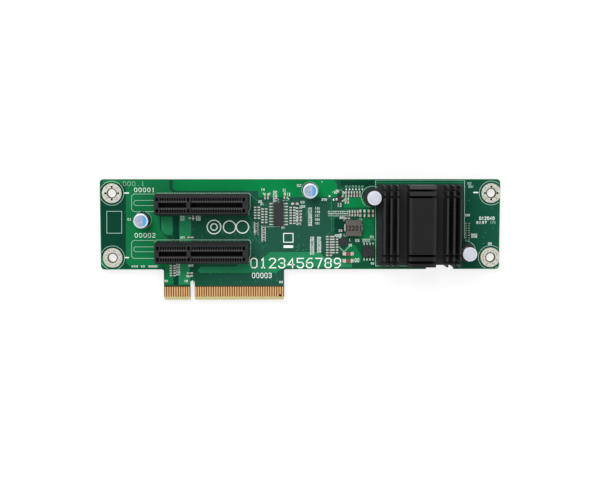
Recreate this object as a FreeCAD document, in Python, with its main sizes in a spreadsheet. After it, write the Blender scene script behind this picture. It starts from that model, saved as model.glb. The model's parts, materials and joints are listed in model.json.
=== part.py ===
import FreeCAD, Part
import os
import Sketcher

# PCI Express riser card: one board edge plug, two slots, a switch chip under a
# heatsink and the parts that feed them. The card lies flat on its back, with the
# component side up. X runs along the card, Y from the plug towards the far edge.
# The origin is under the middle of the card, on the plane it rests on.

# Driving sizes in millimetres. Counts are plain numbers.
SIZES = {
    # Bare board
    "board_thickness": 1.57,
    "board_width": 38.4,
    "board_corner": 1.5,
    "tongue_inset": 26.7,
    "tongue_depth": 13.1,
    "tongue_corner": 0.6,
    "tongue_root": 0.8,
    "bevel_rise": 1.4,
    "bevel_cut": 0.5,
    "key_width": 1.9,
    "key_depth": 8.3,
    "relief_gap": 3.2,
    "relief_width": 11.9,
    "relief_depth": 2.5,
    "relief_slant": 0.8,
    "mount_hole_radius": 1.8,
    "mount_hole_inset": 5.0,
    "mount_hole_right_inset": 3.8,
    "mount_hole_low": 5.0,
    "mount_hole_spacing": 27.5,
    # Gold contacts on both faces of the plug
    "finger_pitch": 1.0,
    "finger_width": 0.7,
    "finger_length": 4.2,
    "finger_rise": 1.42,
    "finger_thickness": 0.05,
    "finger_short": 0.9,
    "fingers_before_key": 11,
    "fingers_after_key": 38,
    "key_to_contact": 1.5,
    "tongue_end_margin": 0.65,
    # Slots
    "slot_inset": 24.0,
    "slot_start_wall": 1.8,
    "slot_end_wall": 2.2,
    "slot_width": 8.8,
    "slot_top_width": 7.3,
    "slot_height": 11.25,
    "slot_ledge": 8.4,
    "slot_ledge_slant": 0.6,
    "slot_low": 7.63,
    "slot_spacing": 20.32,
    "slot_key_width": 1.6,
    "mouth_width": 1.9,
    "mouth_depth": 8.2,
    "mouth_chamfer": 0.2,
    "mouth_end_gap": 1.0,
    "contact_pitch": 1.0,
    "contacts_before_key": 11,
    "contacts_after_key": 21,
    "cavity_inner": 1.85,
    "cavity_outer": 3.1,
    "cavity_width": 0.66,
    "contact_width": 0.45,
    "contact_thickness": 0.2,
    "contact_wall_gap": 0.12,
    "contact_top_gap": 2.6,
    "corner_pocket_width": 1.1,
    "corner_pocket_length": 1.5,
    "corner_pocket_depth": 3.0,
    "corner_pocket_row": 2.35,
    "corner_pocket_end": 1.45,
    "post_side": 1.5,
    "post_drop": 1.45,
    "post_hole": 1.8,
    "post_end_gap": 1.9,
    # Switch chip and its heatsink
    "parts_zone": 54.5,
    "right_margin": 16.7,
    "heatsink_length": 35.8,
    "heatsink_depth": 34.0,
    "heatsink_low": 19.2,
    "heatsink_base": 2.0,
    "heatsink_corner": 0.8,
    "fin_height": 10.0,
    "fin_thickness": 0.8,
    "fin_pitch": 2.75,
    "fins_per_side": 3,
    "fin_first": 10.3,
    "block_width": 11.2,
    "cut_width": 0.9,
    "cut_pitch": 2.75,
    "cut_first": 12.2,
    "cuts_per_end": 2,
    "chip_side": 21.0,
    "chip_substrate": 1.2,
    "chip_cap_side": 17.0,
    "chip_cap": 1.1,
    "thermal_pad": 0.25,
    # Push pins and their springs
    "ear_radius": 3.9,
    "pin_reach": 2.05,
    "pin_inset": 5.3,
    "pin_head_radius": 2.95,
    "pin_head": 1.5,
    "pin_head_height": 13.0,
    "pin_shank": 2.4,
    "pin_slit": 0.7,
    "pin_barb": 0.55,
    "pin_barb_rise": 0.9,
    "pin_tip": 2.6,
    "pin_clearance": 0.15,
    "spring_wall": 0.5,
    "spring_outer_radius": 2.6,
    "spring_sides": 8,
    # Polymer capacitors
    "can_radius": 3.15,
    "can_height": 7.7,
    "can_foot": 0.3,
    "can_rim": 0.45,
    "can_lead_pitch": 2.5,
    "can_lead": 0.5,
    "can_lead_hole": 0.8,
    "can_lead_drop": 1.2,
    "can_left_x": 18.1,
    "can_left_y": 21.2,
    "can_right_x": 26.0,
    "can_right_y": 33.7,
    # Leaded chips
    "clock_chip_x": 12.66,
    "clock_chip_y": 23.6,
    "memory_chip_x": 3.45,
    "memory_chip_y": 7.55,
    "transistor_x": 15.9,
    "transistor_y": 30.1,
    "regulator_x": 14.05,
    "regulator_y": 11.6,
    "inductor_x": 10.0,
    "inductor_y": 17.8,
    "lead_pitch": 1.27,
    "lead_width": 0.42,
    "lead_thickness": 0.2,
    "lead_foot": 0.75,
    "lead_rise": 0.75,
    "chip_lift": 0.1,
    "chip_body_height": 1.5,
    "chip_body_across": 3.9,
    "chip_span": 6.0,
    "clock_chip_length": 9.9,
    "clock_chip_side_leads": 8,
    "memory_chip_length": 4.9,
    "memory_chip_side_leads": 4,
    "transistor_length": 2.9,
    "transistor_across": 1.7,
    "transistor_span": 2.9,
    "transistor_foot": 0.35,
    "transistor_height": 1.0,
    "transistor_pitch": 1.9,
    "transistor_near_leads": 1,
    "transistor_far_leads": 2,
    "regulator_side": 3.3,
    "regulator_height": 0.9,
    "regulator_turn": 45,
    # Chip capacitors and resistors
    "small_chip_length": 1.0,
    "small_chip_width": 0.5,
    "small_capacitor_height": 0.5,
    "small_resistor_height": 0.35,
    "medium_chip_length": 1.6,
    "medium_chip_width": 0.85,
    "medium_chip_height": 0.8,
    "large_chip_length": 3.2,
    "large_chip_width": 1.6,
    "large_chip_height": 1.25,
    # Moulded inductor
    "inductor_side": 6.8,
    "inductor_height": 3.0,
    "inductor_corner": 0.25,
    "terminal_width": 3.0,
    "terminal_reach": 0.35,
    "terminal_height": 1.1,
    "terminal_thickness": 0.15,
}

# Places worked out from the driving sizes, in the order they build on each other.
LAYOUT = {
    "slot_key_place": "dims.slot_start_wall + dims.mouth_end_gap + dims.key_to_contact"
                      " + (dims.contacts_before_key - 1) * dims.contact_pitch",
    "slot_length": "slot_key_place + dims.key_to_contact + dims.mouth_end_gap"
                   " + (dims.contacts_after_key - 1) * dims.contact_pitch + dims.slot_end_wall",
    "board_length": "dims.slot_inset + slot_length + dims.parts_zone"
                    " + dims.heatsink_length + dims.right_margin",
    "left_edge": "-board_length / 2",
    "right_edge": "board_length / 2",
    "low_edge": "-(dims.board_width - dims.tongue_depth) / 2",
    "high_edge": "low_edge + dims.board_width",
    "tongue_edge": "low_edge - dims.tongue_depth",
    "underside": "dims.pin_tip",
    "topside": "underside + dims.board_thickness",
    "tongue_left": "left_edge + dims.tongue_inset",
    "key_x": "tongue_left + dims.tongue_end_margin + dims.key_to_contact"
             " + (dims.fingers_before_key - 1) * dims.finger_pitch",
    "tongue_right": "key_x + dims.key_to_contact + dims.tongue_end_margin"
                    " + (dims.fingers_after_key - 1) * dims.finger_pitch",
    "slot_x": "left_edge + dims.slot_inset + slot_length / 2",
    "slot_2_y": "low_edge + dims.slot_low",
    "slot_1_y": "slot_2_y + dims.slot_spacing",
    "slot_key": "slot_key_place - slot_length / 2",
    "mouth_left": "slot_key - dims.key_to_contact - dims.mouth_end_gap"
                  " - (dims.contacts_before_key - 1) * dims.contact_pitch",
    "mouth_right": "slot_key + dims.key_to_contact + dims.mouth_end_gap"
                   " + (dims.contacts_after_key - 1) * dims.contact_pitch",
    "contact_inner": "dims.cavity_inner + dims.contact_wall_gap + dims.contact_thickness / 2",
    "contact_outer": "dims.cavity_outer - dims.contact_wall_gap - dims.contact_thickness / 2",
    "post_left": "dims.post_end_gap - slot_length / 2",
    "post_right": "slot_length / 2 - dims.post_end_gap",
    "zone_left": "left_edge + dims.slot_inset + slot_length",
    "zone_right": "zone_left + dims.parts_zone",
    "heatsink_x": "zone_right + dims.heatsink_length / 2",
    "heatsink_y": "low_edge + dims.heatsink_low",
    "chip_top": "topside + dims.chip_substrate + dims.chip_cap",
    "heatsink_seat": "chip_top + dims.thermal_pad",
    "heatsink_base_top": "heatsink_seat + dims.heatsink_base",
    "pin_hole": "dims.pin_shank / sqrt(2) + dims.pin_clearance",
    "pin_place_x": "dims.heatsink_length / 2 + dims.pin_reach",
    "pin_place_y": "dims.heatsink_depth / 2 - dims.pin_inset",
}

# Rows of chips: which edge x is measured from, then x, y from the board's long low
# edge, the step to the next one in x and y, how many, and whether they stand along Y.
SMALL_CAPACITORS = [
    ("zone_right", -14.4, 32.1, 1.19, 0, 7, True),
    ("zone_right", -11.6, 23.9, 1.15, 0, 4, True),
    ("zone_right", -12.6, 21.75, 0, 0, 1, False),
    ("zone_right", -13.4, 29.3, 1.2, 0, 2, True),
    ("zone_left", 6.9, 31.2, 1.3, 0, 2, True),
    ("zone_left", 15.2, 31.4, 0, 0, 1, True),
    ("left_edge", 38.7, 21.9, 0, 0, 1, False),
    ("left_edge", 38.2, 13.7, 0, 0, 1, False),
    ("left_edge", 37.8, -1.5, 0, -1.2, 2, False),
]
SMALL_RESISTORS = [
    ("zone_left", 3.5, 26.5, 0, -1.15, 5, False),
    ("zone_left", 6.6, 25.8, 0, -1.15, 6, False),
    ("zone_left", 18.6, 26.4, 0, -1.12, 7, False),
    ("zone_left", 21.3, 26.2, 0, -1.3, 5, False),
    ("left_edge", 30.5, 1.6, 0, -1.05, 5, False),
    ("zone_right", -20.3, 13.95, 0, -1.14, 8, False),
    ("zone_right", -17.7, 13.95, 0, -1.14, 7, False),
]
MEDIUM_CAPACITORS = [
    ("zone_right", -7.05, 23.9, 1.8, 0, 4, True),
    ("zone_left", 19.6, 28.0, 0, 0, 1, False),
]
LARGE_CAPACITORS = [
    ("zone_right", -12.15, 6.65, 0, -3.0, 2, False),
]

# Where the two polymer capacitors stand.
CAN_PLACES = {
    "capacitor_left": ("layout.left_edge + dims.can_left_x", "layout.low_edge + dims.can_left_y"),
    "capacitor_right": ("layout.zone_left + dims.can_right_x", "layout.low_edge + dims.can_right_y"),
}


def make_sheet(doc, name, cells):
    """A spreadsheet with one named cell per row."""
    sheet = doc.addObject("Spreadsheet::Sheet", name)
    for row, (alias, content) in enumerate(cells.items(), start=1):
        sheet.set("A%d" % row, alias)
        sheet.set("B%d" % row, content)
        sheet.setAlias("B%d" % row, alias)
    return sheet


def value(expression):
    """The present value of an expression on the two sheets."""
    return float(layout.evalExpression(expression))


def new_body(label, x="0", y="0", z="0"):
    """An empty body whose own origin stands at the given place."""
    body = doc.addObject("PartDesign::Body", label)
    body.Label = label
    for axis, place in (("x", x), ("y", y), ("z", z)):
        body.setExpression("Placement.Base." + axis, place)
    parts.append(body)
    return body


def origin_feature(body, role):
    """One of a body's own origin planes or axes."""
    for feature in body.Origin.OriginFeatures:
        if feature.Role == role:
            return feature
    raise ValueError(role)


def new_sketch(body, role="XY_Plane", shift="0"):
    """A sketch parallel to an origin plane, shifted along the plane's normal."""
    sketch = body.newObject("Sketcher::SketchObject", body.Name + "_sketch")
    sketch.AttachmentSupport = (origin_feature(body, role), [""])
    sketch.MapMode = "FlatFace"
    sketch.setExpression("AttachmentOffset.Base.z", shift)
    return sketch


def pin_point(sketch, geometry, point, x, y):
    """Hold one sketch point at expressions for its two coordinates."""
    for kind, place in (("DistanceX", x), ("DistanceY", y)):
        rule = Sketcher.Constraint(kind, -1, 1, geometry, point, value(place))
        index = sketch.addConstraint(rule)
        sketch.setExpression("Constraints[%d]" % index, place)


def add_polygon(sketch, corners):
    """A closed outline through corners given as pairs of expressions."""
    points = [FreeCAD.Vector(value(x), value(y), 0) for x, y in corners]
    first = sketch.GeometryCount
    count = len(points)
    for index, point in enumerate(points):
        sketch.addGeometry(Part.LineSegment(point, points[(index + 1) % count]))
    for index in range(count):
        after = first + (index + 1) % count
        sketch.addConstraint(Sketcher.Constraint("Coincident", first + index, 2, after, 1))
    for index, (x, y) in enumerate(corners):
        pin_point(sketch, first + index, 1, x, y)


def add_rectangle(sketch, x, y, width, height):
    """A rectangle of the given size about a centre."""
    left, right = "%s - (%s) / 2" % (x, width), "%s + (%s) / 2" % (x, width)
    low, high = "%s - (%s) / 2" % (y, height), "%s + (%s) / 2" % (y, height)
    add_polygon(sketch, [(left, low), (right, low), (right, high), (left, high)])


def add_circle(sketch, x, y, radius):
    """A circle about a centre."""
    centre = FreeCAD.Vector(value(x), value(y), 0)
    circle = Part.Circle(centre, FreeCAD.Vector(0, 0, 1), value(radius))
    index = sketch.addGeometry(circle)
    pin_point(sketch, index, 3, x, y)
    rule = sketch.addConstraint(Sketcher.Constraint("Radius", index, value(radius)))
    sketch.setExpression("Constraints[%d]" % rule, radius)


def pad(body, sketch, length, both_ways=False, down=False):
    """Material grown from a sketch."""
    feature = body.newObject("PartDesign::Pad", body.Name + "_pad")
    feature.Profile = sketch
    feature.setExpression("Length", length)
    feature.Midplane = both_ways
    feature.Reversed = down
    body.Tip = feature
    return feature


def pocket(body, sketch, depth=None, both_ways=False, up=False):
    """A hole cut from a sketch, right through both ways when no depth is given."""
    feature = body.newObject("PartDesign::Pocket", body.Name + "_pocket")
    feature.Profile = sketch
    feature.Refine = False
    if depth is None:
        feature.Type = "ThroughAll"
        feature.Midplane = True
    else:
        feature.setExpression("Length", depth)
        feature.Midplane = both_ways
        feature.Reversed = up
    body.Tip = feature
    return feature


def row_step(body, axis, pitch, count):
    """One direction of a pattern."""
    step = body.newObject("PartDesign::LinearPattern", body.Name + "_row")
    step.Direction = (origin_feature(body, axis), [""])
    step.Mode = "Spacing"
    step.setExpression("Offset", pitch)
    step.setExpression("Occurrences", count)
    return step


def mirror_step(body, plane):
    """A mirror image across one of the body's planes."""
    step = body.newObject("PartDesign::Mirrored", body.Name + "_mirror")
    step.MirrorPlane = (origin_feature(body, plane), [""])
    return step


def repeat(body, feature, steps):
    """Repeat a feature through one or more steps."""
    pattern = body.newObject("PartDesign::MultiTransform", body.Name + "_pattern")
    pattern.Originals = [feature]
    pattern.Transformations = steps
    pattern.Refine = False
    body.Tip = pattern
    return pattern


def upright_edges(shape, places):
    """Names of the edges that stand straight up at the given places."""
    names = []
    for index, edge in enumerate(shape.Edges, start=1):
        start, end = edge.firstVertex().Point, edge.lastVertex().Point
        for x, y in places:
            at_start = abs(start.x - value(x)) < 1e-6 and abs(start.y - value(y)) < 1e-6
            at_end = abs(end.x - value(x)) < 1e-6 and abs(end.y - value(y)) < 1e-6
            if at_start and at_end:
                names.append("Edge%d" % index)
    return names


def dress_edges(body, kind, size_name, size, places):
    """A fillet or chamfer on a body's upright edges at the given places."""
    doc.recompute()
    base = body.Tip
    feature = body.newObject("PartDesign::" + kind, body.Name + "_" + kind.lower())
    feature.Base = (base, upright_edges(base.Shape, places))
    feature.setExpression(size_name, size)
    body.Tip = feature
    return feature


def circuit_board():
    """The bare board with its plug tongue, holes, key slot and relief notch."""
    body = new_body("circuit_board", z="layout.underside")
    thickness = "dims.board_thickness"
    outer = [("layout.left_edge", "layout.low_edge"), ("layout.right_edge", "layout.low_edge"),
             ("layout.right_edge", "layout.high_edge"), ("layout.left_edge", "layout.high_edge")]
    roots = [("layout.tongue_left", "layout.low_edge"), ("layout.tongue_right", "layout.low_edge")]
    tips = [("layout.tongue_left", "layout.tongue_edge"), ("layout.tongue_right", "layout.tongue_edge")]
    outline = new_sketch(body)
    add_polygon(outline, [outer[0], roots[0], tips[0], tips[1], roots[1]] + outer[1:])
    pad(body, outline, thickness)
    dress_edges(body, "Fillet", "Radius", "dims.board_corner", outer)
    dress_edges(body, "Fillet", "Radius", "dims.tongue_root", roots)
    dress_edges(body, "Chamfer", "Size", "dims.tongue_corner", tips)
    cut_key(body)
    cut_relief(body)
    cut_bevels(body)
    drill_holes(body)
    return body


def cut_key(body):
    """The keying slot that splits the plug, with a round end."""
    round_y = "layout.tongue_edge + dims.key_depth - dims.key_width / 2"
    slot = new_sketch(body)
    half = "dims.key_width / 2"
    add_polygon(slot, [("layout.key_x - " + half, "layout.tongue_edge"),
                       ("layout.key_x + " + half, "layout.tongue_edge"),
                       ("layout.key_x + " + half, round_y),
                       ("layout.key_x - " + half, round_y)])
    pocket(body, slot)
    end = new_sketch(body)
    add_circle(end, "layout.key_x", round_y, half)
    pocket(body, end)


def cut_relief(body):
    """The slanted notch in the low edge, beside the heatsink block."""
    left = "layout.heatsink_x + dims.relief_gap"
    right = left + " + dims.relief_width"
    top = "layout.low_edge + dims.relief_depth"
    notch = new_sketch(body)
    add_polygon(notch, [(left, "layout.low_edge"), (right, "layout.low_edge"),
                        (right + " - dims.relief_slant", top),
                        (left + " + dims.relief_slant", top)])
    pocket(body, notch)


def cut_bevels(body):
    """The plug's edge, bevelled on both faces."""
    low, high = "layout.tongue_edge", "layout.tongue_edge + dims.bevel_rise"
    thick = "dims.board_thickness"
    profile = new_sketch(body, "YZ_Plane")
    add_polygon(profile, [(low, "0"), (high, "0"), (low, "dims.bevel_cut")])
    add_polygon(profile, [(low, thick), (high, thick), (low, thick + " - dims.bevel_cut")])
    pocket(body, profile)


def drill_holes(body):
    """Holes for the four screws, the two push pins, the slot posts and the can leads."""
    holes = new_sketch(body)
    for x in ("layout.left_edge + dims.mount_hole_inset",
              "layout.right_edge - dims.mount_hole_right_inset"):
        for y in ("layout.low_edge + dims.mount_hole_low",
                  "layout.low_edge + dims.mount_hole_low + dims.mount_hole_spacing"):
            add_circle(holes, x, y, "dims.mount_hole_radius")
    for side in ("-", "+"):
        x = "layout.heatsink_x %s layout.pin_place_x" % side
        y = "layout.heatsink_y - (0 %s layout.pin_place_y)" % side
        add_circle(holes, x, y, "layout.pin_hole")
    for y in ("layout.slot_1_y", "layout.slot_2_y"):
        for place in ("layout.post_left", "layout.post_right"):
            add_rectangle(holes, "layout.slot_x + " + place, y, "dims.post_hole", "dims.post_hole")
    for x, y in CAN_PLACES.values():
        for side in ("-", "+"):
            lead_x = "%s %s dims.can_lead_pitch / 2" % (x, side)
            add_rectangle(holes, lead_x, y, "dims.can_lead_hole", "dims.can_lead_hole")
    pocket(body, holes)


def contact_runs():
    """The runs of contacts on each side of the key: first x from the slot's centre, and count."""
    left = "layout.slot_key - dims.key_to_contact - (dims.contacts_before_key - 1) * dims.contact_pitch"
    right = "layout.slot_key + dims.key_to_contact"
    return [(left, "dims.contacts_before_key"), (right, "dims.contacts_after_key")]


def edge_contacts(label, height, short_first):
    """The gold contacts on one face of the plug, one of them shorter than the rest."""
    body = new_body(label, z=height)
    before = "layout.key_x - dims.key_to_contact - (dims.fingers_before_key - 1) * dims.finger_pitch"
    after = "layout.key_x + dims.key_to_contact"
    pitch = "dims.finger_pitch"
    if short_first:
        runs = [(before, "1", "dims.finger_short"),
                (before + " + " + pitch, "dims.fingers_before_key - 1", "0"),
                (after, "dims.fingers_after_key", "0")]
    else:
        late = after + " + (dims.fingers_after_key - %d) * " + pitch
        runs = [(before, "dims.fingers_before_key", "0"),
                (after, "dims.fingers_after_key - 2", "0"),
                (late % 2, "1", "dims.finger_short"),
                (late % 1, "1", "0")]
    for start, count, cut_back in runs:
        low = "layout.tongue_edge + dims.finger_rise + " + cut_back
        high = "layout.tongue_edge + dims.finger_rise + dims.finger_length"
        left, right = start + " - dims.finger_width / 2", start + " + dims.finger_width / 2"
        finger = new_sketch(body)
        add_polygon(finger, [(left, low), (right, low), (right, high), (left, high)])
        first = pad(body, finger, "dims.finger_thickness")
        repeat(body, first, [row_step(body, "X_Axis", pitch, count)])
    return body


def slot_housing(label, y):
    """A moulded slot: a stepped bar with two mouths and a cavity for each contact."""
    body = new_body(label, "layout.slot_x", y, "layout.topside")
    profile = new_sketch(body, "YZ_Plane")
    foot, top = "dims.slot_width / 2", "dims.slot_top_width / 2"
    ledge, knee = "dims.slot_ledge", "dims.slot_ledge + dims.slot_ledge_slant"
    right = [(foot, "0"), (foot, ledge), (top, knee), (top, "dims.slot_height")]
    left = [("-(%s)" % across, up) for across, up in reversed(right)]
    add_polygon(profile, right + left)
    pad(body, profile, "layout.slot_length", both_ways=True)
    cut_mouths(body)
    for start, count in contact_runs():
        cavity = new_sketch(body)
        add_rectangle(cavity, start, "(dims.cavity_inner + dims.cavity_outer) / 2",
                      "dims.cavity_width", "dims.cavity_outer - dims.cavity_inner")
        cut = pocket(body, cavity)
        repeat(body, cut, [row_step(body, "X_Axis", "dims.contact_pitch", count),
                           mirror_step(body, "XZ_Plane")])
    pockets = new_sketch(body, shift="dims.slot_height")
    for x in ("layout.mouth_left - dims.corner_pocket_end + dims.mouth_end_gap",
              "layout.slot_key",
              "layout.mouth_right + dims.corner_pocket_end - dims.mouth_end_gap"):
        for side in ("-", ""):
            add_rectangle(pockets, x, side + "dims.corner_pocket_row",
                          "dims.corner_pocket_width", "dims.corner_pocket_length")
    pocket(body, pockets, "dims.corner_pocket_depth")
    posts = new_sketch(body)
    for x in ("layout.post_left", "layout.post_right"):
        add_rectangle(posts, x, "0", "dims.post_side", "dims.post_side")
    pad(body, posts, "dims.board_thickness + dims.post_drop", down=True)
    return body


def cut_mouths(body):
    """The card slot itself, parted by the key, with a slanted lead-in along its rims."""
    key_left = "layout.slot_key - dims.slot_key_width / 2"
    key_right = "layout.slot_key + dims.slot_key_width / 2"
    half, flare = "dims.mouth_width / 2", "dims.mouth_width / 2 + dims.mouth_chamfer"
    floor, shoulder = "dims.slot_height - dims.mouth_depth", "dims.slot_height - dims.mouth_chamfer"
    right = [(half, floor), (half, shoulder), (flare, "dims.slot_height")]
    left = [("-(%s)" % across, up) for across, up in reversed(right)]
    for start, end in (("layout.mouth_left", key_left), (key_right, "layout.mouth_right")):
        mouth = new_sketch(body, "YZ_Plane", "(%s + %s) / 2" % (start, end))
        add_polygon(mouth, right + left)
        pocket(body, mouth, "%s - (%s)" % (end, start), both_ways=True)


def contact_rows():
    """The staggered rows of contacts: first x from the slot's centre, y row and count."""
    rows = []
    for start, count in contact_runs():
        rows.append((start, "layout.contact_inner", "ceil(%s / 2)" % count))
        rows.append((start + " + dims.contact_pitch", "layout.contact_outer", "floor(%s / 2)" % count))
    return rows


def slot_contacts(label, y):
    """The contact strips of one slot, each standing on the board inside its own cavity."""
    body = new_body(label, "layout.slot_x", y, "layout.topside")
    for start, row, count in contact_rows():
        strip = new_sketch(body)
        add_rectangle(strip, start, row, "dims.contact_width", "dims.contact_thickness")
        first = pad(body, strip, "dims.slot_height - dims.contact_top_gap")
        repeat(body, first, [row_step(body, "X_Axis", "2 * dims.contact_pitch", count),
                             mirror_step(body, "XZ_Plane")])
    return body


def heatsink():
    """One finned block: a base with two ears, a solid core and cross-cut fins."""
    body = new_body("heatsink", "layout.heatsink_x", "layout.heatsink_y", "layout.heatsink_seat")
    base = new_sketch(body)
    add_rectangle(base, "0", "0", "dims.heatsink_length", "dims.heatsink_depth")
    pad(body, base, "dims.heatsink_base")
    ears = new_sketch(body)
    add_circle(ears, "-layout.pin_place_x", "layout.pin_place_y", "dims.ear_radius")
    add_circle(ears, "layout.pin_place_x", "-layout.pin_place_y", "dims.ear_radius")
    pad(body, ears, "dims.heatsink_base")
    core = new_sketch(body, shift="dims.heatsink_base")
    add_rectangle(core, "0", "0", "dims.block_width", "dims.heatsink_depth")
    pad(body, core, "dims.fin_height")
    fin = new_sketch(body, shift="dims.heatsink_base")
    add_rectangle(fin, "dims.fin_first", "0", "dims.fin_thickness", "dims.heatsink_depth")
    first_fin = pad(body, fin, "dims.fin_height")
    repeat(body, first_fin, [row_step(body, "X_Axis", "dims.fin_pitch", "dims.fins_per_side"),
                             mirror_step(body, "YZ_Plane")])
    saw_cut = new_sketch(body, shift="dims.heatsink_base")
    add_rectangle(saw_cut, "0", "dims.cut_first", "dims.heatsink_length", "dims.cut_width")
    first_cut = pocket(body, saw_cut, "dims.fin_height", up=True)
    repeat(body, first_cut, [row_step(body, "Y_Axis", "dims.cut_pitch", "dims.cuts_per_end"),
                             mirror_step(body, "XZ_Plane")])
    pin_holes = new_sketch(body)
    add_circle(pin_holes, "-layout.pin_place_x", "layout.pin_place_y", "layout.pin_hole")
    add_circle(pin_holes, "layout.pin_place_x", "-layout.pin_place_y", "layout.pin_hole")
    pocket(body, pin_holes)
    return body


def push_pin(label, side):
    """A split plastic pin: round head, square shank, barbs that grip under the board."""
    body = new_body(label, "layout.heatsink_x %s layout.pin_place_x" % side,
                    "layout.heatsink_y - (0 %s layout.pin_place_y)" % side)
    neck = "layout.topside + dims.pin_head_height - dims.pin_head"
    shank, slit = "dims.pin_shank / 2", "dims.pin_slit / 2"
    barb = "dims.pin_shank / 2 + dims.pin_barb"
    right = [(slit, "layout.topside"), (slit, "0"), (shank, "0"),
             (barb, "layout.underside - dims.pin_barb_rise"), (barb, "layout.underside"),
             (shank, "layout.underside"), (shank, neck)]
    left = [("-(%s)" % across, up) for across, up in reversed(right)]
    profile = new_sketch(body, "XZ_Plane")
    add_polygon(profile, right + left)
    pad(body, profile, "dims.pin_shank", both_ways=True)
    head = new_sketch(body, shift=neck)
    add_circle(head, "0", "0", "dims.pin_head_radius")
    pad(body, head, "dims.pin_head")
    return body


def add_part(kind, label, sizes, x="0", y="0", z="0"):
    """A Part primitive with its sizes and place bound to expressions."""
    solid = doc.addObject(kind, label)
    for size, expression in sizes.items():
        solid.setExpression(size, expression)
    for axis, place in (("x", x), ("y", y), ("z", z)):
        solid.setExpression("Placement.Base." + axis, place)
    return solid


def block(label, x, y, low, width, depth, height):
    """A box centred on x and y, standing on a level."""
    sizes = {"Length": width, "Width": depth, "Height": height}
    return add_part("Part::Box", label, sizes, "%s - (%s) / 2" % (x, width),
                    "%s - (%s) / 2" % (y, depth), low)


def group(label, members):
    """Like pieces kept together as separate solids."""
    bundle = doc.addObject("Part::Compound", label)
    bundle.Label = label
    bundle.Links = members
    parts.append(bundle)
    return bundle


def single(solid):
    """A primitive that is a sub-part by itself."""
    parts.append(solid)
    return solid


def pin_spring(label, side):
    """The coil spring between a pin's head and its ear, as its outer sleeve."""
    x = "layout.heatsink_x %s layout.pin_place_x" % side
    y = "layout.heatsink_y - (0 %s layout.pin_place_y)" % side
    height = "layout.topside + dims.pin_head_height - dims.pin_head - layout.heatsink_base_top"
    sleeves = []
    for name, radius in (("_outer", "dims.spring_outer_radius"),
                         ("_inner", "dims.spring_outer_radius - dims.spring_wall")):
        sizes = {"Circumradius": radius, "Height": height}
        sleeve = add_part("Part::Prism", label + name, sizes, x, y, "layout.heatsink_base_top")
        sleeve.setExpression("Polygon", "dims.spring_sides")
        sleeves.append(sleeve)
    spring = doc.addObject("Part::Cut", label)
    spring.Base, spring.Tool = sleeves
    return single(spring)


def switch_chip():
    """The chip under the heatsink: substrate, moulded cap and thermal pad."""
    x, y = "layout.heatsink_x", "layout.heatsink_y"
    single(block("switch_chip_substrate", x, y, "layout.topside",
                 "dims.chip_side", "dims.chip_side", "dims.chip_substrate"))
    single(block("switch_chip_cap", x, y, "layout.topside + dims.chip_substrate",
                 "dims.chip_cap_side", "dims.chip_cap_side", "dims.chip_cap"))
    single(block("thermal_pad", x, y, "layout.chip_top",
                 "dims.chip_cap_side", "dims.chip_cap_side", "dims.thermal_pad"))


def capacitor(name, x, y):
    """A polymer capacitor: a turned can on two leads that pass through the board."""
    can = new_body(name + "_can", x, y, "layout.topside")
    profile = new_sketch(can, "XZ_Plane")
    rim_x, rim_z = "dims.can_radius - dims.can_rim", "dims.can_height - dims.can_rim"
    add_polygon(profile, [("0", "dims.can_foot"), ("dims.can_radius", "dims.can_foot"),
                          ("dims.can_radius", rim_z), (rim_x, "dims.can_height"),
                          ("0", "dims.can_height")])
    turned = can.newObject("PartDesign::Revolution", can.Name + "_turned")
    turned.Profile = profile
    turned.ReferenceAxis = (profile, ["V_Axis"])
    turned.Angle = 360
    can.Tip = turned
    leads = []
    for number, side in enumerate(("-", "+"), start=1):
        leads.append(block("%s_lead_%d" % (name, number),
                           "%s %s dims.can_lead_pitch / 2" % (x, side), y,
                           "layout.underside - dims.can_lead_drop", "dims.can_lead",
                           "dims.can_lead",
                           "dims.board_thickness + dims.can_lead_drop + dims.can_foot"))
    group(name + "_leads", leads)


def leaded_chip(name, x, y, size, span, foot, height, pitch, counts, turned):
    """A moulded chip with bent leads down its two long sides."""
    body = new_body(name + "_body", x, y, "layout.topside + dims.chip_lift")
    outline = new_sketch(body)
    length, across = size
    add_rectangle(outline, "0", "0", length if turned else across, across if turned else length)
    pad(body, outline, height)
    leads = new_body(name + "_leads", x, y, "layout.topside")
    for sign, count in zip(("-", ""), counts):
        toe, heel = "(%s) / 2" % span, "(%s) / 2 - %s" % (span, foot)
        side, rise, thick = "(%s) / 2" % across, "dims.lead_rise", "dims.lead_thickness"
        shape = [(toe, "0"), (toe, thick), (heel, thick), (side, rise),
                 (side, rise + " - " + thick), (heel + " - " + thick, "0")]
        first = "-(%s - 1) * (%s) / 2" % (count, pitch)
        bend = new_sketch(leads, "YZ_Plane" if turned else "XZ_Plane",
                          first if turned else "-(%s)" % first)
        add_polygon(bend, [("%s(%s)" % (sign, out), up) for out, up in shape])
        lead = pad(leads, bend, "dims.lead_width", both_ways=True)
        if value(count) > 1:
            repeat(leads, lead, [row_step(leads, "X_Axis" if turned else "Y_Axis", pitch, count)])


def regulator(x, y):
    """The square regulator chip, set on the board at half a right angle."""
    body = new_body("regulator_chip", x, y, "layout.topside")
    body.setExpression("Placement.Rotation.Angle", "dims.regulator_turn")
    outline = new_sketch(body)
    add_rectangle(outline, "0", "0", "dims.regulator_side", "dims.regulator_side")
    pad(body, outline, "dims.regulator_height")


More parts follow.
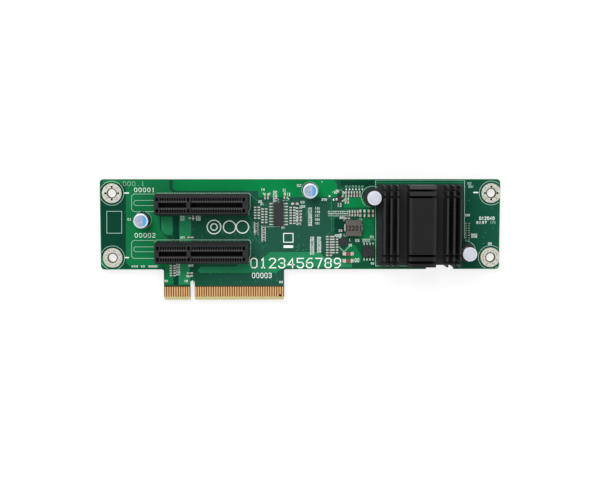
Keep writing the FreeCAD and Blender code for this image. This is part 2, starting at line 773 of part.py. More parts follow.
def inductor(x, y):
    """The moulded power inductor, a clipped square with a folded terminal each side."""
    core = new_body("inductor_core", x, y, "layout.topside + dims.terminal_thickness")
    half, clip = "dims.inductor_side / 2", "dims.inductor_side / 2 - dims.inductor_corner"
    outline = new_sketch(core)
    add_polygon(outline, [("-(%s)" % clip, "-" + half), (clip, "-" + half), (half, "-(%s)" % clip),
                          (half, clip), (clip, half), ("-(%s)" % clip, half),
                          ("-" + half, clip), ("-" + half, "-(%s)" % clip)])
    pad(core, outline, "dims.inductor_height - dims.terminal_thickness")
    terminals = new_body("inductor_terminals", x, y, "layout.topside")
    out, thick = "dims.inductor_side / 2 + dims.terminal_thickness", "dims.terminal_thickness"
    fold = new_sketch(terminals, "XZ_Plane")
    inner = "dims.inductor_side / 2 - dims.terminal_reach"
    add_polygon(fold, [(inner, "0"), (out, "0"), (out, "dims.terminal_height"),
                       (half, "dims.terminal_height"), (half, thick), (inner, thick)])
    first = pad(terminals, fold, "dims.terminal_width", both_ways=True)
    repeat(terminals, first, [mirror_step(terminals, "YZ_Plane")])


def chip_rows(label, rows, length, width, height):
    """Chip capacitors or resistors, lying in rows on the board."""
    chips = []
    for edge, x, y, step_x, step_y, count, along_y in rows:
        for index in range(count):
            size = (width, length) if along_y else (length, width)
            name = "%s_%02d" % (label, len(chips) + 1)
            chips.append(block(name, "layout.%s + %g" % (edge, x + index * step_x),
                               "layout.low_edge + %g" % (y + index * step_y),
                               "layout.topside", size[0], size[1], height))
    group(label, chips)


def small_parts():
    """Everything soldered to the board that is neither slot, can nor heatsink."""
    leaded_chip("clock_chip", "layout.zone_left + dims.clock_chip_x",
                "layout.low_edge + dims.clock_chip_y",
                ("dims.clock_chip_length", "dims.chip_body_across"), "dims.chip_span",
                "dims.lead_foot", "dims.chip_body_height", "dims.lead_pitch",
                ("dims.clock_chip_side_leads", "dims.clock_chip_side_leads"), False)
    leaded_chip("memory_chip", "layout.zone_right - dims.memory_chip_x",
                "layout.low_edge + dims.memory_chip_y",
                ("dims.memory_chip_length", "dims.chip_body_across"), "dims.chip_span",
                "dims.lead_foot", "dims.chip_body_height", "dims.lead_pitch",
                ("dims.memory_chip_side_leads", "dims.memory_chip_side_leads"), True)
    leaded_chip("transistor", "layout.zone_right - dims.transistor_x",
                "layout.low_edge + dims.transistor_y",
                ("dims.transistor_length", "dims.transistor_across"), "dims.transistor_span",
                "dims.transistor_foot", "dims.transistor_height", "dims.transistor_pitch",
                ("dims.transistor_near_leads", "dims.transistor_far_leads"), False)
    regulator("layout.zone_right - dims.regulator_x", "layout.low_edge + dims.regulator_y")
    inductor("layout.zone_right - dims.inductor_x", "layout.low_edge + dims.inductor_y")
    chip_rows("small_capacitors", SMALL_CAPACITORS, "dims.small_chip_length",
              "dims.small_chip_width", "dims.small_capacitor_height")
    chip_rows("small_resistors", SMALL_RESISTORS, "dims.small_chip_length",
              "dims.small_chip_width", "dims.small_resistor_height")
    chip_rows("medium_capacitors", MEDIUM_CAPACITORS, "dims.medium_chip_length",
              "dims.medium_chip_width", "dims.medium_chip_height")
    chip_rows("large_capacitors", LARGE_CAPACITORS, "dims.large_chip_length",
              "dims.large_chip_width", "dims.large_chip_height")


def build():
    """Every sub-part of the card."""
    circuit_board()
    edge_contacts("edge_contacts_front", "layout.topside", False)
    edge_contacts("edge_contacts_back", "layout.underside - dims.finger_thickness", True)
    for number, y in ((1, "layout.slot_1_y"), (2, "layout.slot_2_y")):
        slot_housing("slot_%d_housing" % number, y)
        slot_contacts("slot_%d_contacts" % number, y)
    heatsink()
    switch_chip()
    for number, side in ((1, "-"), (2, "+")):
        push_pin("push_pin_%d" % number, side)
        pin_spring("push_pin_spring_%d" % number, side)
    for name, (x, y) in CAN_PLACES.items():
        capacitor(name, x, y)
    small_parts()


def check_and_write():
    """Stop on anything broken, then write one file for each sub-part."""
    doc.recompute()
    for item in doc.Objects:
        if "Invalid" in item.State or "Error" in item.State:
            raise RuntimeError("%s failed: %s" % (item.Label, item.State))
    for item in parts:
        if item.Shape.isNull() or not item.Shape.isValid():
            raise RuntimeError("%s has no valid shape" % item.Label)
    os.makedirs("parts", exist_ok=True)
    for item in parts:
        item.Shape.exportStep("parts/%s.step" % item.Label)


doc = FreeCAD.newDocument("riser_card")
dims = make_sheet(doc, "dims", {alias: str(size) for alias, size in SIZES.items()})
doc.recompute()
layout = make_sheet(doc, "layout", {alias: "=" + rule for alias, rule in LAYOUT.items()})
doc.recompute()
parts = []
build()
check_and_write()
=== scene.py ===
"""Visual model of the riser card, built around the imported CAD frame."""

import bmesh
import bpy
import json
import math
import random
from mathutils import Matrix, Vector


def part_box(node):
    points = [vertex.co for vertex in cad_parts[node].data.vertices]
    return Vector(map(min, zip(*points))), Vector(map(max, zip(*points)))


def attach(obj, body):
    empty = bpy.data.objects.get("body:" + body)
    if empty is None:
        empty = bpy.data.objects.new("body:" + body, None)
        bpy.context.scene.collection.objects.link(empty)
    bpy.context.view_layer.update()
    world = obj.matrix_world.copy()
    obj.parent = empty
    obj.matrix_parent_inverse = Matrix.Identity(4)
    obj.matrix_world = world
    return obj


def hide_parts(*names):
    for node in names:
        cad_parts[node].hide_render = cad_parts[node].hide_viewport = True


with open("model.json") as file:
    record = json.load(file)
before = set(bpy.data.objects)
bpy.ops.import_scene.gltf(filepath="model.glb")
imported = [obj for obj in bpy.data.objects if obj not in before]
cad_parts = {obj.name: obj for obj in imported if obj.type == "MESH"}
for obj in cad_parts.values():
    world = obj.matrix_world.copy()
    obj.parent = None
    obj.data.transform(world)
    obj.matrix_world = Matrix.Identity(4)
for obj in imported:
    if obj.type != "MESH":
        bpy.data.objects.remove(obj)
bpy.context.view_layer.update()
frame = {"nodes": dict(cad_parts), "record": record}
rng = random.Random(7)

MM = 0.001
board_low, board_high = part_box("circuit_board")
LEFT, RIGHT = board_low[0] / MM, board_high[0] / MM
TOP, BACK = board_high[2] / MM, board_low[2] / MM
BOARD_WIDTH = 38.4      # front to back, without the plug's tongue
LOW = board_high[1] / MM - BOARD_WIDTH
INK = 0.02              # how far print stands proud
COPPER = 0.012          # how far copper lifts the mask
BEVEL = 1.4             # bare laminate at the plug's tip
FINGER_ZONE = 6.0       # laminate between the plug's contacts
CONTACT_PITCH = 1.0
BLOCK_HALF = 5.6        # half the width of the heatsink's solid middle

screws = next(mount for mount in frame["record"]["mounts"] if mount["name"] == "mounting_holes")
HOLE = screws["dims"]["hole_r_mm"]
HOLES = [(screws["pos_m"][0] / MM + x * screws["dims"]["spacing_x_mm"] / 2,
          screws["pos_m"][1] / MM + y * screws["dims"]["spacing_y_mm"] / 2)
         for x in (-1, 1) for y in (-1, 1)]


# ---------------------------------------------------------------- materials

def srgb(red, green, blue):
    """Linear colour from 0 to 255 display values."""
    out = []
    for level in (red, green, blue):
        level /= 255
        out.append(level / 12.92 if level <= 0.04045 else ((level + 0.055) / 1.055) ** 2.4)
    return (*out, 1.0)


def shade(colour, factor):
    """A colour made lighter or darker."""
    return (*(min(1.0, level * factor) for level in colour[:3]), 1.0)


class Nodes:
    """A material's node tree, with short calls for the nodes used here."""

    def __init__(self, name):
        self.material = bpy.data.materials.new(name)
        self.material.use_nodes = True
        self.tree = self.material.node_tree
        self.shader = self.tree.nodes["Principled BSDF"]
        self.place = self.tree.nodes.new("ShaderNodeTexCoord").outputs["Object"]

    def feed(self, socket, item):
        """A number or a colour is set on the socket itself; anything else is linked to it."""
        if isinstance(item, (int, float, tuple)):
            socket.default_value = item
        else:
            self.tree.links.new(item, socket)

    def node(self, kind, **inputs):
        """A new node, its inputs fed by name."""
        made = self.tree.nodes.new("ShaderNode" + kind)
        for name, item in inputs.items():
            self.feed(made.inputs[name], item)
        return made

    def noise(self, scale, detail=3.0, stretch=None):
        place = self.place
        if stretch:
            place = self.node("Mapping", Scale=stretch, Vector=self.place).outputs["Vector"]
        return self.node("TexNoise", Scale=scale, Detail=detail, Roughness=0.55, Vector=place).outputs["Fac"]

    def cells(self, scale):
        return self.node("TexVoronoi", Scale=scale, Vector=self.place).outputs["Distance"]

    def ramp(self, source, *stops):
        node = self.node("ValToRGB", Fac=source)
        elements = node.color_ramp.elements
        while len(elements) < len(stops):
            elements.new(0.5)
        for element, (position, colour) in zip(elements, stops):
            element.position, element.color = position, colour
        return node.outputs["Color"]

    def mottled(self, source, colour, darker, lighter):
        return self.ramp(source, (0.3, shade(colour, darker)), (0.7, shade(colour, lighter)))

    def mix(self, factor, first, second):
        node = self.node("Mix")
        node.data_type = "RGBA"
        for index, item in ((0, factor), (6, first), (7, second)):
            self.feed(node.inputs[index], item)
        return node.outputs[2]

    def mix_shaders(self, factor, first, second):
        node = self.node("MixShader")
        for socket, item in zip(node.inputs, (factor, first, second)):
            self.feed(socket, item)
        return node.outputs[0]

    def math(self, operation, first, second=0.0):
        node = self.node("Math")
        node.operation = operation
        self.feed(node.inputs[0], first)
        self.feed(node.inputs[1], second)
        return node.outputs[0]

    def axis(self, name, source=None):
        return self.node("SeparateXYZ", Vector=source or self.place).outputs[name]

    def span(self, source, out_low, out_high, low=0.3, high=0.7):
        """A source between low and high, spread over out_low to out_high."""
        node = self.node("MapRange", Value=source)
        for index, number in enumerate((low, high, out_low, out_high), start=1):
            node.inputs[index].default_value = number
        return node.outputs[0]

    def bump(self, source, distance, strength=0.6):
        node = self.node("Bump", Distance=distance, Strength=strength, Height=source)
        self.feed(self.shader.inputs["Normal"], node.outputs["Normal"])

    def finish(self, colour, roughness, metallic=0.0, specular=0.5):
        for name, item in (("Base Color", colour), ("Roughness", roughness), ("Metallic", metallic),
                           ("Specular IOR Level", specular)):
            self.feed(self.shader.inputs[name], item)
        return self.material


GRAIN = 4000.0    # scale of the finest grain


def surface(name, colour, rough=0.5, metallic=0.0, mottle=0.12, mottle_size=0.004,
            grain=0.00002, specular=0.5, rough_spread=0.12):
    """A general finish: mottled colour, uneven roughness and fine grain."""
    nodes = Nodes(name)
    fine = nodes.noise(GRAIN, 2.0)
    nodes.bump(fine, grain)
    return nodes.finish(nodes.mottled(nodes.noise(1 / mottle_size, 4.0), colour, 1 - mottle, 1 + mottle),
                        nodes.span(fine, max(0.02, rough - rough_spread), min(1.0, rough + rough_spread)),
                        metallic, specular)


MASK_SPECULAR = 0.04


def mask_material(name, colour, depth=0.1):
    """Solder mask over copper: clear gloss with the woven glass just showing."""
    nodes = Nodes(name)
    tint = nodes.ramp(nodes.noise(45.0), (0.32, shade(colour, 1 - depth)), (0.68, shade(colour, 1 + depth)))
    weave = nodes.noise(2600.0, 1.0, (1.0, 0.35, 1.0))
    tint = nodes.mix(nodes.span(weave, 0.0, 0.16, 0.35, 0.65), tint, shade(colour, 0.72))
    nodes.bump(weave, 0.000006, 0.4)
    return nodes.finish(tint, nodes.span(nodes.noise(900.0), 0.34, 0.48), specular=MASK_SPECULAR)


def board_material():
    """The bare board: mask on both faces, bare laminate round the plug's contacts and edges."""
    nodes = Nodes("board_laminate")
    field = nodes.ramp(nodes.span(nodes.axis("X"), 0.0, 1.0, LEFT * MM, RIGHT * MM), *BOARD_FIELD)
    tint = nodes.mix(nodes.span(nodes.noise(38.0), 0.0, 0.35, 0.35, 0.7), field, srgb(16, 62, 44))
    weave = nodes.noise(2600.0, 1.0, (0.35, 1.0, 1.0))
    tint = nodes.mix(nodes.span(weave, 0.0, 0.15, 0.35, 0.65), tint, srgb(8, 48, 34))
    half_weave = nodes.span(weave, 0.0, 0.5)
    laminate = nodes.mix(half_weave, srgb(70, 50, 20), srgb(54, 38, 14))
    tan = nodes.mix(half_weave, srgb(200, 190, 140), srgb(176, 160, 108))
    y = nodes.axis("Y")
    for reach, bare in ((FINGER_ZONE, laminate), (BEVEL, tan)):
        tint = nodes.mix(nodes.math("LESS_THAN", y, board_low[1] + reach * MM), tint, bare)
    upright = nodes.math("ABSOLUTE", nodes.axis("Z", nodes.node("NewGeometry").outputs["Normal"]))
    layers = nodes.noise(1.0, 2.0, (300.0, 300.0, 5200.0))
    rim = nodes.mix(layers, srgb(38, 128, 62), srgb(92, 150, 84))
    tint = nodes.mix(nodes.math("LESS_THAN", upright, 0.4), tint, rim)
    nodes.bump(weave, 0.000006, 0.4)
    return nodes.finish(tint, nodes.span(nodes.noise(900.0), 0.36, 0.52), specular=MASK_SPECULAR)


def finger_material():
    """Gold plate: light and shade repeat with the contacts, with light wipe marks along them."""
    nodes = Nodes("gold_plate")
    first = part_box("edge_contacts_front")[0][0]
    place = nodes.math("DIVIDE", nodes.math("SUBTRACT", nodes.axis("X"), first), CONTACT_PITCH * MM)
    sheen = nodes.ramp(nodes.math("FRACT", place),
                       (0.0, srgb(150, 98, 52)), (0.1, srgb(236, 188, 130)), (0.28, srgb(252, 222, 172)),
                       (0.42, srgb(226, 168, 102)), (0.6, srgb(196, 134, 72)), (0.7, srgb(120, 74, 34)))
    cloud = nodes.span(nodes.noise(1.0, 3.0, (1400.0, 260.0, 1400.0)), 0.0, 0.3, 0.35, 0.65)
    wipe = nodes.noise(1.0, 2.0, (9000.0, 300.0, 9000.0))
    nodes.bump(wipe, 0.000004, 0.4)
    return nodes.finish(nodes.mix(cloud, sheen, srgb(206, 148, 90)), nodes.span(wipe, 0.26, 0.44), 0.7)


def nylon_material(name, colour, rough):
    """Moulded black nylon: faint sparkle of glass fibre and flow marks."""
    nodes = Nodes(name)
    flow = nodes.noise(1.0, 4.0, (90.0, 900.0, 900.0))
    fibre = nodes.noise(1.0, 2.0, (1500.0, 7000.0, 7000.0))
    nodes.bump(fibre, 0.00001, 0.5)
    return nodes.finish(nodes.mottled(flow, colour, 0.82, 1.2),
                        nodes.span(fibre, rough - 0.1, rough + 0.12, 0.35, 0.65), specular=0.15)


def anodised_material():
    """Black anodised extrusion, with die lines along the fins and a darker middle block, whose side edges
    and end steps are painted lighter as highlights.
    """
    nodes = Nodes("black_anodise")
    die = nodes.noise(1.0, 3.0, (3200.0, 60.0, 3200.0))
    fins = nodes.ramp(die, (0.3, srgb(37, 37, 39)), (0.7, srgb(43, 43, 45)))
    low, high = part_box("heatsink")
    off_middle = nodes.math("ABSOLUTE", nodes.math("SUBTRACT", nodes.axis("X"), (low[0] + high[0]) / 2))
    # Painted highlight: the middle block grows lighter towards its two side edges.
    block = nodes.ramp(nodes.span(off_middle, 0.0, 1.0, 0.0, BLOCK_HALF * MM),
                       (0.0, srgb(12, 12, 14)), (0.7, srgb(14, 14, 16)), (0.95, srgb(32, 32, 34)))
    # Painted highlight: the two steps at the block's far end are lighter, the outer one most.
    from_end = nodes.math("SUBTRACT", high[1], nodes.axis("Y"))
    steps = nodes.mix(nodes.math("LESS_THAN", from_end, 2.4 * MM), srgb(34, 34, 36), srgb(58, 58, 61))
    block = nodes.mix(nodes.math("LESS_THAN", from_end, 5.3 * MM), block, steps)
    nodes.bump(die, 0.00001, 0.5)
    return nodes.finish(nodes.mix(nodes.math("LESS_THAN", off_middle, BLOCK_HALF * MM), fins, block),
                        nodes.span(die, 0.36, 0.56), specular=0.2)


def tin_material(name, colour, rough=0.32):
    """Solder and tin plate: frosted grain over bright metal."""
    nodes = Nodes(name)
    crystal = nodes.cells(3800.0)
    nodes.bump(crystal, 0.000012, 0.5)
    tint = nodes.ramp(crystal, (0.0, shade(colour, 1.05)), (0.6, colour), (1.0, shade(colour, 0.8)))
    return nodes.finish(tint, nodes.span(nodes.noise(2500.0), rough - 0.1, rough + 0.14), 0.55)


def can_top_material():
    """A can's printed top: pale film with a smudged grey code."""
    nodes = Nodes("can_top")
    cloud = nodes.noise(900.0, 4.0)
    film = nodes.ramp(cloud, (0.35, srgb(142, 155, 176)), (0.65, srgb(166, 176, 190)))
    smudge = nodes.noise(1.0, 3.0, (1500.0, 900.0, 1.0))
    nodes.bump(smudge, 0.000004, 0.3)
    return nodes.finish(nodes.mix(nodes.span(smudge, 0.0, 0.45, 0.52, 0.62), film, srgb(120, 150, 205)),
                        nodes.span(cloud, 0.3, 0.42), 0.3)


def powder_material():
    """Pressed iron powder: warm grey with fine dark specks."""
    nodes = Nodes("pressed_powder")
    cloud = nodes.noise(700.0, 4.0)
    base = nodes.ramp(cloud, (0.3, srgb(74, 68, 62)), (0.7, srgb(92, 84, 78)))
    speck = nodes.cells(5200.0)
    nodes.bump(speck, 0.00002, 0.5)
    return nodes.finish(nodes.mix(nodes.span(speck, 0.5, 0.0, 0.1, 0.3), base, srgb(66, 56, 54)),
                        nodes.span(cloud, 0.55, 0.75))


# ---------------------------------------------------------------- mesh code

def turned(centre, x, y, angle):
    """A place x, y from a centre, in axes turned by an angle."""
    cos, sin = math.cos(angle), math.sin(angle)
    return centre[0] + x * cos - y * sin, centre[1] + x * sin + y * cos


def bands(rings):
    """Faces between rings of point numbers; a ring of one point is a tip."""
    faces = []
    for lower, upper in zip(rings, rings[1:]):
        count = max(len(lower), len(upper))
        for i in range(count):
            j = (i + 1) % count
            if len(lower) == 1:
                faces.append((lower[0], upper[j], upper[i]))
            elif len(upper) == 1:
                faces.append((lower[i], lower[j], upper[0]))
            else:
                faces.append((lower[i], lower[j], upper[j], upper[i]))
    return faces


def row_of_rings(rings, count):
    """The point numbers of equal rings, one after the other."""
    return [list(range(ring * count, (ring + 1) * count)) for ring in range(rings)]


class Shape:
    """A mesh put together from simple closed forms, in millimetres."""

    def __init__(self, name, slot, materials):
        self.name, self.slot, self.materials = name, slot, materials
        self.points, self.faces, self.marks, self.soft = [], [], [], []

    def add(self, points, faces, mark=0, soft=False):
        start = len(self.points)
        self.points += [tuple(point) for point in points]
        for face in faces:
            self.faces.append([start + index for index in face])
            self.marks.append(mark)
            self.soft.append(soft)

    def plate(self, outline, low, high, slope=0.0, mark=0):
        """An outline raised from low to high, its rim leaning in by slope."""
        upper = inset(outline, slope) if slope else outline
        points = [(x, y, low) for x, y in outline] + [(x, y, high) for x, y in upper]
        rings = row_of_rings(2, len(outline))
        self.add(points, bands(rings) + [rings[0][::-1], rings[1]], mark)

    def stroke(self, path, width, low, high, closed=False, mark=0):
        """A line of ink or copper along a path, with mitred corners."""
        left, right = offset_path(path, width / 2, closed)
        count = len(left)
        points = [(x, y, z) for z in (low, high) for side in (left, right) for x, y in side]
        rings = [[i, count + i, 3 * count + i, 2 * count + i] for i in range(count)]
        ends = [] if closed else [rings[0], rings[-1][::-1]]
        self.add(points, bands(rings + rings[:1] if closed else rings) + ends, mark)

    def block(self, centre, size, low, high, chamfer=0.0, mark=0, turn=0.0):
        """A box with its upper edges clipped by the chamfer."""
        levels = [(0.0, low), (0.0, high)] if not chamfer else [
            (0.0, low), (0.0, high - chamfer), (chamfer, high)]
        points = [(*turned(centre, sx * (size[0] / 2 - cut), sy * (size[1] / 2 - cut), turn), z)
                  for cut, z in levels for sx, sy in ((-1, -1), (1, -1), (1, 1), (-1, 1))]
        rings = row_of_rings(len(levels), 4)
        self.add(points, bands(rings) + [(3, 2, 1, 0), rings[-1]], mark)

    def lathe(self, centre, profile, segments=40, mark=0, soft=True):
        """A turned form: profile of (radius, z), from the axis round to the axis."""
        rings, points = [], []
        for radius, z in profile:
            start, count = len(points), segments if radius > 1e-6 else 1
            rings.append(list(range(start, start + count)))
            angles = [2 * math.pi * i / segments for i in range(count)]
            points += [(centre[0] + radius * math.cos(angle), centre[1] + radius * math.sin(angle), z)
                       for angle in angles]
        faces = bands(rings)
        if len(rings[0]) > 1 and len(rings[-1]) > 1:
            faces += bands([rings[-1], rings[0]])
        self.add(points, faces, mark, soft)

    def tube(self, path, radius, sides=8):
        """A round wire along a path of points."""
        points = []
        for index, point in enumerate(path):
            ahead = Vector(path[min(index + 1, len(path) - 1)]) - Vector(path[max(index - 1, 0)])
            ahead.normalize()
            side = ahead.cross(Vector((0, 0, 1))).normalized()
            up = side.cross(ahead)
            for i in range(sides):
                angle = 2 * math.pi * i / sides
                points.append(Vector(point) + radius * (math.cos(angle) * side + math.sin(angle) * up))
        rings = row_of_rings(len(path), sides)
        self.add(points, bands(rings) + [rings[0][::-1], rings[-1]], soft=True)

    def build(self, replaces=()):
        mesh = bpy.data.meshes.new(self.name)
        mesh.from_pydata([tuple(MM * c for c in point) for point in self.points], [], self.faces)
        for material in self.materials:
            mesh.materials.append(material)
        for polygon, mark, soft in zip(mesh.polygons, self.marks, self.soft):
            polygon.material_index = mark
            polygon.use_smooth = soft
        work = bmesh.new()
        work.from_mesh(mesh)
        bmesh.ops.recalc_face_normals(work, faces=work.faces)
        work.to_mesh(mesh)
        work.free()
        declare(add_object(self.name, mesh), replaces)


def add_object(name, data):
    made = bpy.data.objects.new(name, data)
    bpy.context.scene.collection.objects.link(made)
    return made


def declare(piece, replaces=()):
    """Every piece rides on the one body, and may stand for CAD nodes, which it hides."""
    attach(piece, "root")
    if replaces:
        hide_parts(*replaces)


def offset_path(path, distance, closed):
    """The left and right sides of a path, with ends carried on by half its width."""
    points = [Vector(point) for point in path]
    count = len(points)
    if not closed:
        first = (points[0] - points[1]).normalized()
        last = (points[-1] - points[-2]).normalized()
        points[0] = points[0] + first * distance
        points[-1] = points[-1] + last * distance
    left, right = [], []
    for index, point in enumerate(points):
        steps = []
        if closed or index:
            steps.append((point - points[index - 1]).normalized())
        if closed or index < count - 1:
            steps.append((points[(index + 1) % count] - point).normalized())
        sideways = [Vector((-step.y, step.x)) for step in steps]
        normal = sum(sideways, Vector((0, 0)))
        normal = normal.normalized() if normal.length > 1e-6 else sideways[0]
        reach = distance / max(0.45, normal.dot(sideways[0]))    # a sharp corner's mitre is kept short
        left.append(tuple(point + normal * reach))
        right.append(tuple(point - normal * reach))
    return left, right


def inset(outline, distance):
    """An outline drawn in by a small distance, whichever way round it runs."""
    left, right = offset_path(outline, distance, True)
    area = sum(a[0] * b[1] - b[0] * a[1] for a, b in zip(outline, outline[1:] + outline[:1]))
    return left if area > 0 else right


def at(point):
    """From millimetres along and above the board's lower left corner to the frame."""
    return LEFT + point[0], LOW + point[1]


def ring_points(centre, radius, start=0.0, end=360.0, steps=48):
    """Points on an arc from start to end degrees; a full circle ends on its first point."""
    count = max(3, round(steps * abs(end - start) / 360)) + 1
    angles = [math.radians(start + (end - start) * i / (count - 1)) for i in range(count)]
    return [(centre[0] + radius * math.cos(angle), centre[1] + radius * math.sin(angle)) for angle in angles]


def clipped_corners(centre, length, width, turn):
    """A rectangle with clipped corners."""
    clip = 0.22 * min(length, width)
    x, y = length / 2, width / 2
    corners = [(x - clip, -y), (x, clip - y), (x, y - clip), (x - clip, y),
               (clip - x, y), (-x, y - clip), (-x, clip - y), (clip - x, -y)]
    return [turned(centre, dx, dy, turn) for dx, dy in corners]


def centre_of(node):
    """The middle of a CAD node's box, seen from above, in millimetres."""
    low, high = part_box(node)
    return (low[0] + high[0]) / 2 / MM, (low[1] + high[1]) / 2 / MM


def heights_of(node):
    """The foot and top of a CAD node's box, in millimetres."""
    low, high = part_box(node)
    return low[2] / MM, high[2] / MM


def islands(node):
    """The box of each separate solid in a CAD node, in millimetres."""
    mesh = frame["nodes"][node].data
    keys, parent = {}, list(range(len(mesh.vertices)))

    def root(index):
        while parent[index] != index:
            parent[index] = parent[parent[index]]
            index = parent[index]
        return index

    for vertex in mesh.vertices:
        key = tuple(round(c, 6) for c in vertex.co)
        if key in keys:
            parent[root(vertex.index)] = root(keys[key])
        else:
            keys[key] = vertex.index
    for edge in mesh.edges:
        parent[root(edge.vertices[0])] = root(edge.vertices[1])
    boxes = {}
    for vertex in mesh.vertices:
        low, high = boxes.setdefault(root(vertex.index), ([1e9] * 3, [-1e9] * 3))
        for k in range(3):
            low[k] = min(low[k], vertex.co[k] / MM)
            high[k] = max(high[k], vertex.co[k] / MM)
    return sorted(boxes.values())


def soften(node, material, width, segments=2):
    """The CAD solid again, with its sharp edges rounded off."""
    mesh = frame["nodes"][node].data.copy()
    mesh.name = node + "_rounded"
    work = bmesh.new()
    work.from_mesh(mesh)
    bmesh.ops.remove_doubles(work, verts=work.verts, dist=2e-6)
    bmesh.ops.dissolve_limit(work, angle_limit=math.radians(1), verts=work.verts, edges=work.edges)
    for face in work.faces:
        face.smooth = False
        face.material_index = 0
    work.to_mesh(mesh)
    work.free()
    mesh.materials.clear()
    mesh.materials.append(material)
    piece = add_object(node + "_rounded", mesh)
    rounding = piece.modifiers.new("rounding", "BEVEL")
    rounding.width = width * MM
    rounding.segments = segments
    rounding.limit_method = "ANGLE"
    rounding.angle_limit = math.radians(35)
    rounding.use_clamp_overlap = True
    rounding.harden_normals = True
    declare(piece, (node,))


def dress(node, material):
    """Give a carried-over CAD node its finish."""
    for place in frame["nodes"][node].material_slots:
        place.material = material


# ---------------------------------------------------------------- the look

# The mask's colour from the board's left end to its right.
BOARD_FIELD = [(0.0, srgb(8, 66, 46)), (0.14, srgb(10, 76, 50)), (0.42, srgb(34, 84, 68)),
               (0.56, srgb(34, 82, 66)), (0.68, srgb(6, 82, 50)), (0.9, srgb(6, 70, 52)),
               (1.0, srgb(22, 82, 64))]

board = board_material()
bright_mask = mask_material("mask_bright", srgb(4, 122, 64))
pour_mask = mask_material("mask_pour", srgb(14, 112, 64))
pale_mask = mask_material("mask_pale", srgb(34, 124, 82))
deep_mask = mask_material("mask_deep", srgb(6, 60, 44))
trace_mask = mask_material("mask_trace", srgb(34, 126, 80))
# Painted highlight: the pale mask of the band along the board's edge.
edge_highlight_mask = mask_material("mask_edge_highlight", srgb(8, 104, 60))
ink = surface("print_ink", srgb(232, 240, 236), 0.6, mottle=0.05, mottle_size=0.001)
dim_ink = surface("print_ink_thin", srgb(168, 204, 186), 0.6, mottle=0.08, mottle_size=0.001)
gold = finger_material()
nylon = nylon_material("slot_nylon", srgb(38, 38, 40), 0.5)
# A lighter copy of the slot nylon for the ribs: painted highlight along the slot mouths.
rib_nylon_highlight = nylon_material("slot_rib_nylon", srgb(82, 80, 84), 0.45)
contact_metal = surface("contact_metal", srgb(92, 76, 60), 0.4, 0.6, mottle_size=0.002)
anodised = anodised_material()
pin_nylon = surface("pin_nylon", srgb(188, 192, 202), 0.42, mottle=0.03, rough_spread=0.06)
# A lighter copy of the pin nylon: painted highlight on the pins' rounded rims.
pin_rim_highlight = surface("pin_nylon_rim_highlight", srgb(208, 210, 218), 0.35, mottle=0.02, rough_spread=0.05)
wire = surface("spring_wire", srgb(170, 172, 178), 0.25, 0.9, mottle_size=0.0008)
can_metal = surface("can_metal", srgb(222, 224, 232), 0.3, 0.35, mottle=0.04, grain=0.000004)
# A darker copy of the can's aluminium for the walls: painted shade on the cans' sides.
shaded_can_wall = surface("shaded_can_wall", srgb(128, 132, 134), 0.22, 0.95, mottle=0.06, grain=0.000004,
                   rough_spread=0.06)
can_top = can_top_material()
can_blue = surface("can_band", srgb(74, 148, 204), 0.45, mottle=0.08, mottle_size=0.0012)
can_base = surface("can_seal", srgb(36, 36, 38), 0.7)
tin = tin_material("tin_plate", srgb(226, 224, 222))
lead_plate = tin_material("lead_plate", srgb(150, 156, 150), 0.36)
lead_dark = tin_material("lead_plate_dark", srgb(84, 92, 86), 0.4)
solder = tin_material("solder", srgb(206, 208, 202), 0.28)
ring_tin = surface("ring_tin", srgb(190, 187, 178), 0.4, 0.3, mottle=0.4, mottle_size=0.0007)
barrel = surface("hole_barrel", srgb(96, 88, 52), 0.4, 0.5, mottle_size=0.001)
# Black discs for the open vias: painted shade in place of their holes.
via_shade_disc = surface("open_via_painted_shade", srgb(10, 12, 11), 0.7, specular=0.1)
via_filled = surface("via_filled", srgb(150, 142, 122), 0.5, 0.3, mottle_size=0.001)
chip_black = surface("chip_epoxy", srgb(48, 47, 49), 0.62, specular=0.15, mottle=0.06, mottle_size=0.002)
chip_mark = surface("chip_dimple", srgb(40, 39, 42), 0.6)
ceramic = surface("ceramic_tan", srgb(150, 112, 86), 0.5, mottle=0.15, mottle_size=0.0006)
ceramic_dark = surface("ceramic_brown", srgb(104, 70, 54), 0.5, mottle=0.15, mottle_size=0.0006)
glaze = surface("resistor_glaze", srgb(42, 40, 42), 0.4, mottle_size=0.0006)
end_metal = tin_material("end_metal", srgb(216, 212, 204), 0.3)
powder = powder_material()
number_ink = surface("number_ink", srgb(18, 13, 12), 0.6, specular=0.2)
pad_gel = surface("gap_pad", srgb(150, 152, 156), 0.8, mottle_size=0.002)
laminate = mask_material("chip_laminate", srgb(22, 90, 60))


# ---------------------------------------------------------------- copper and print

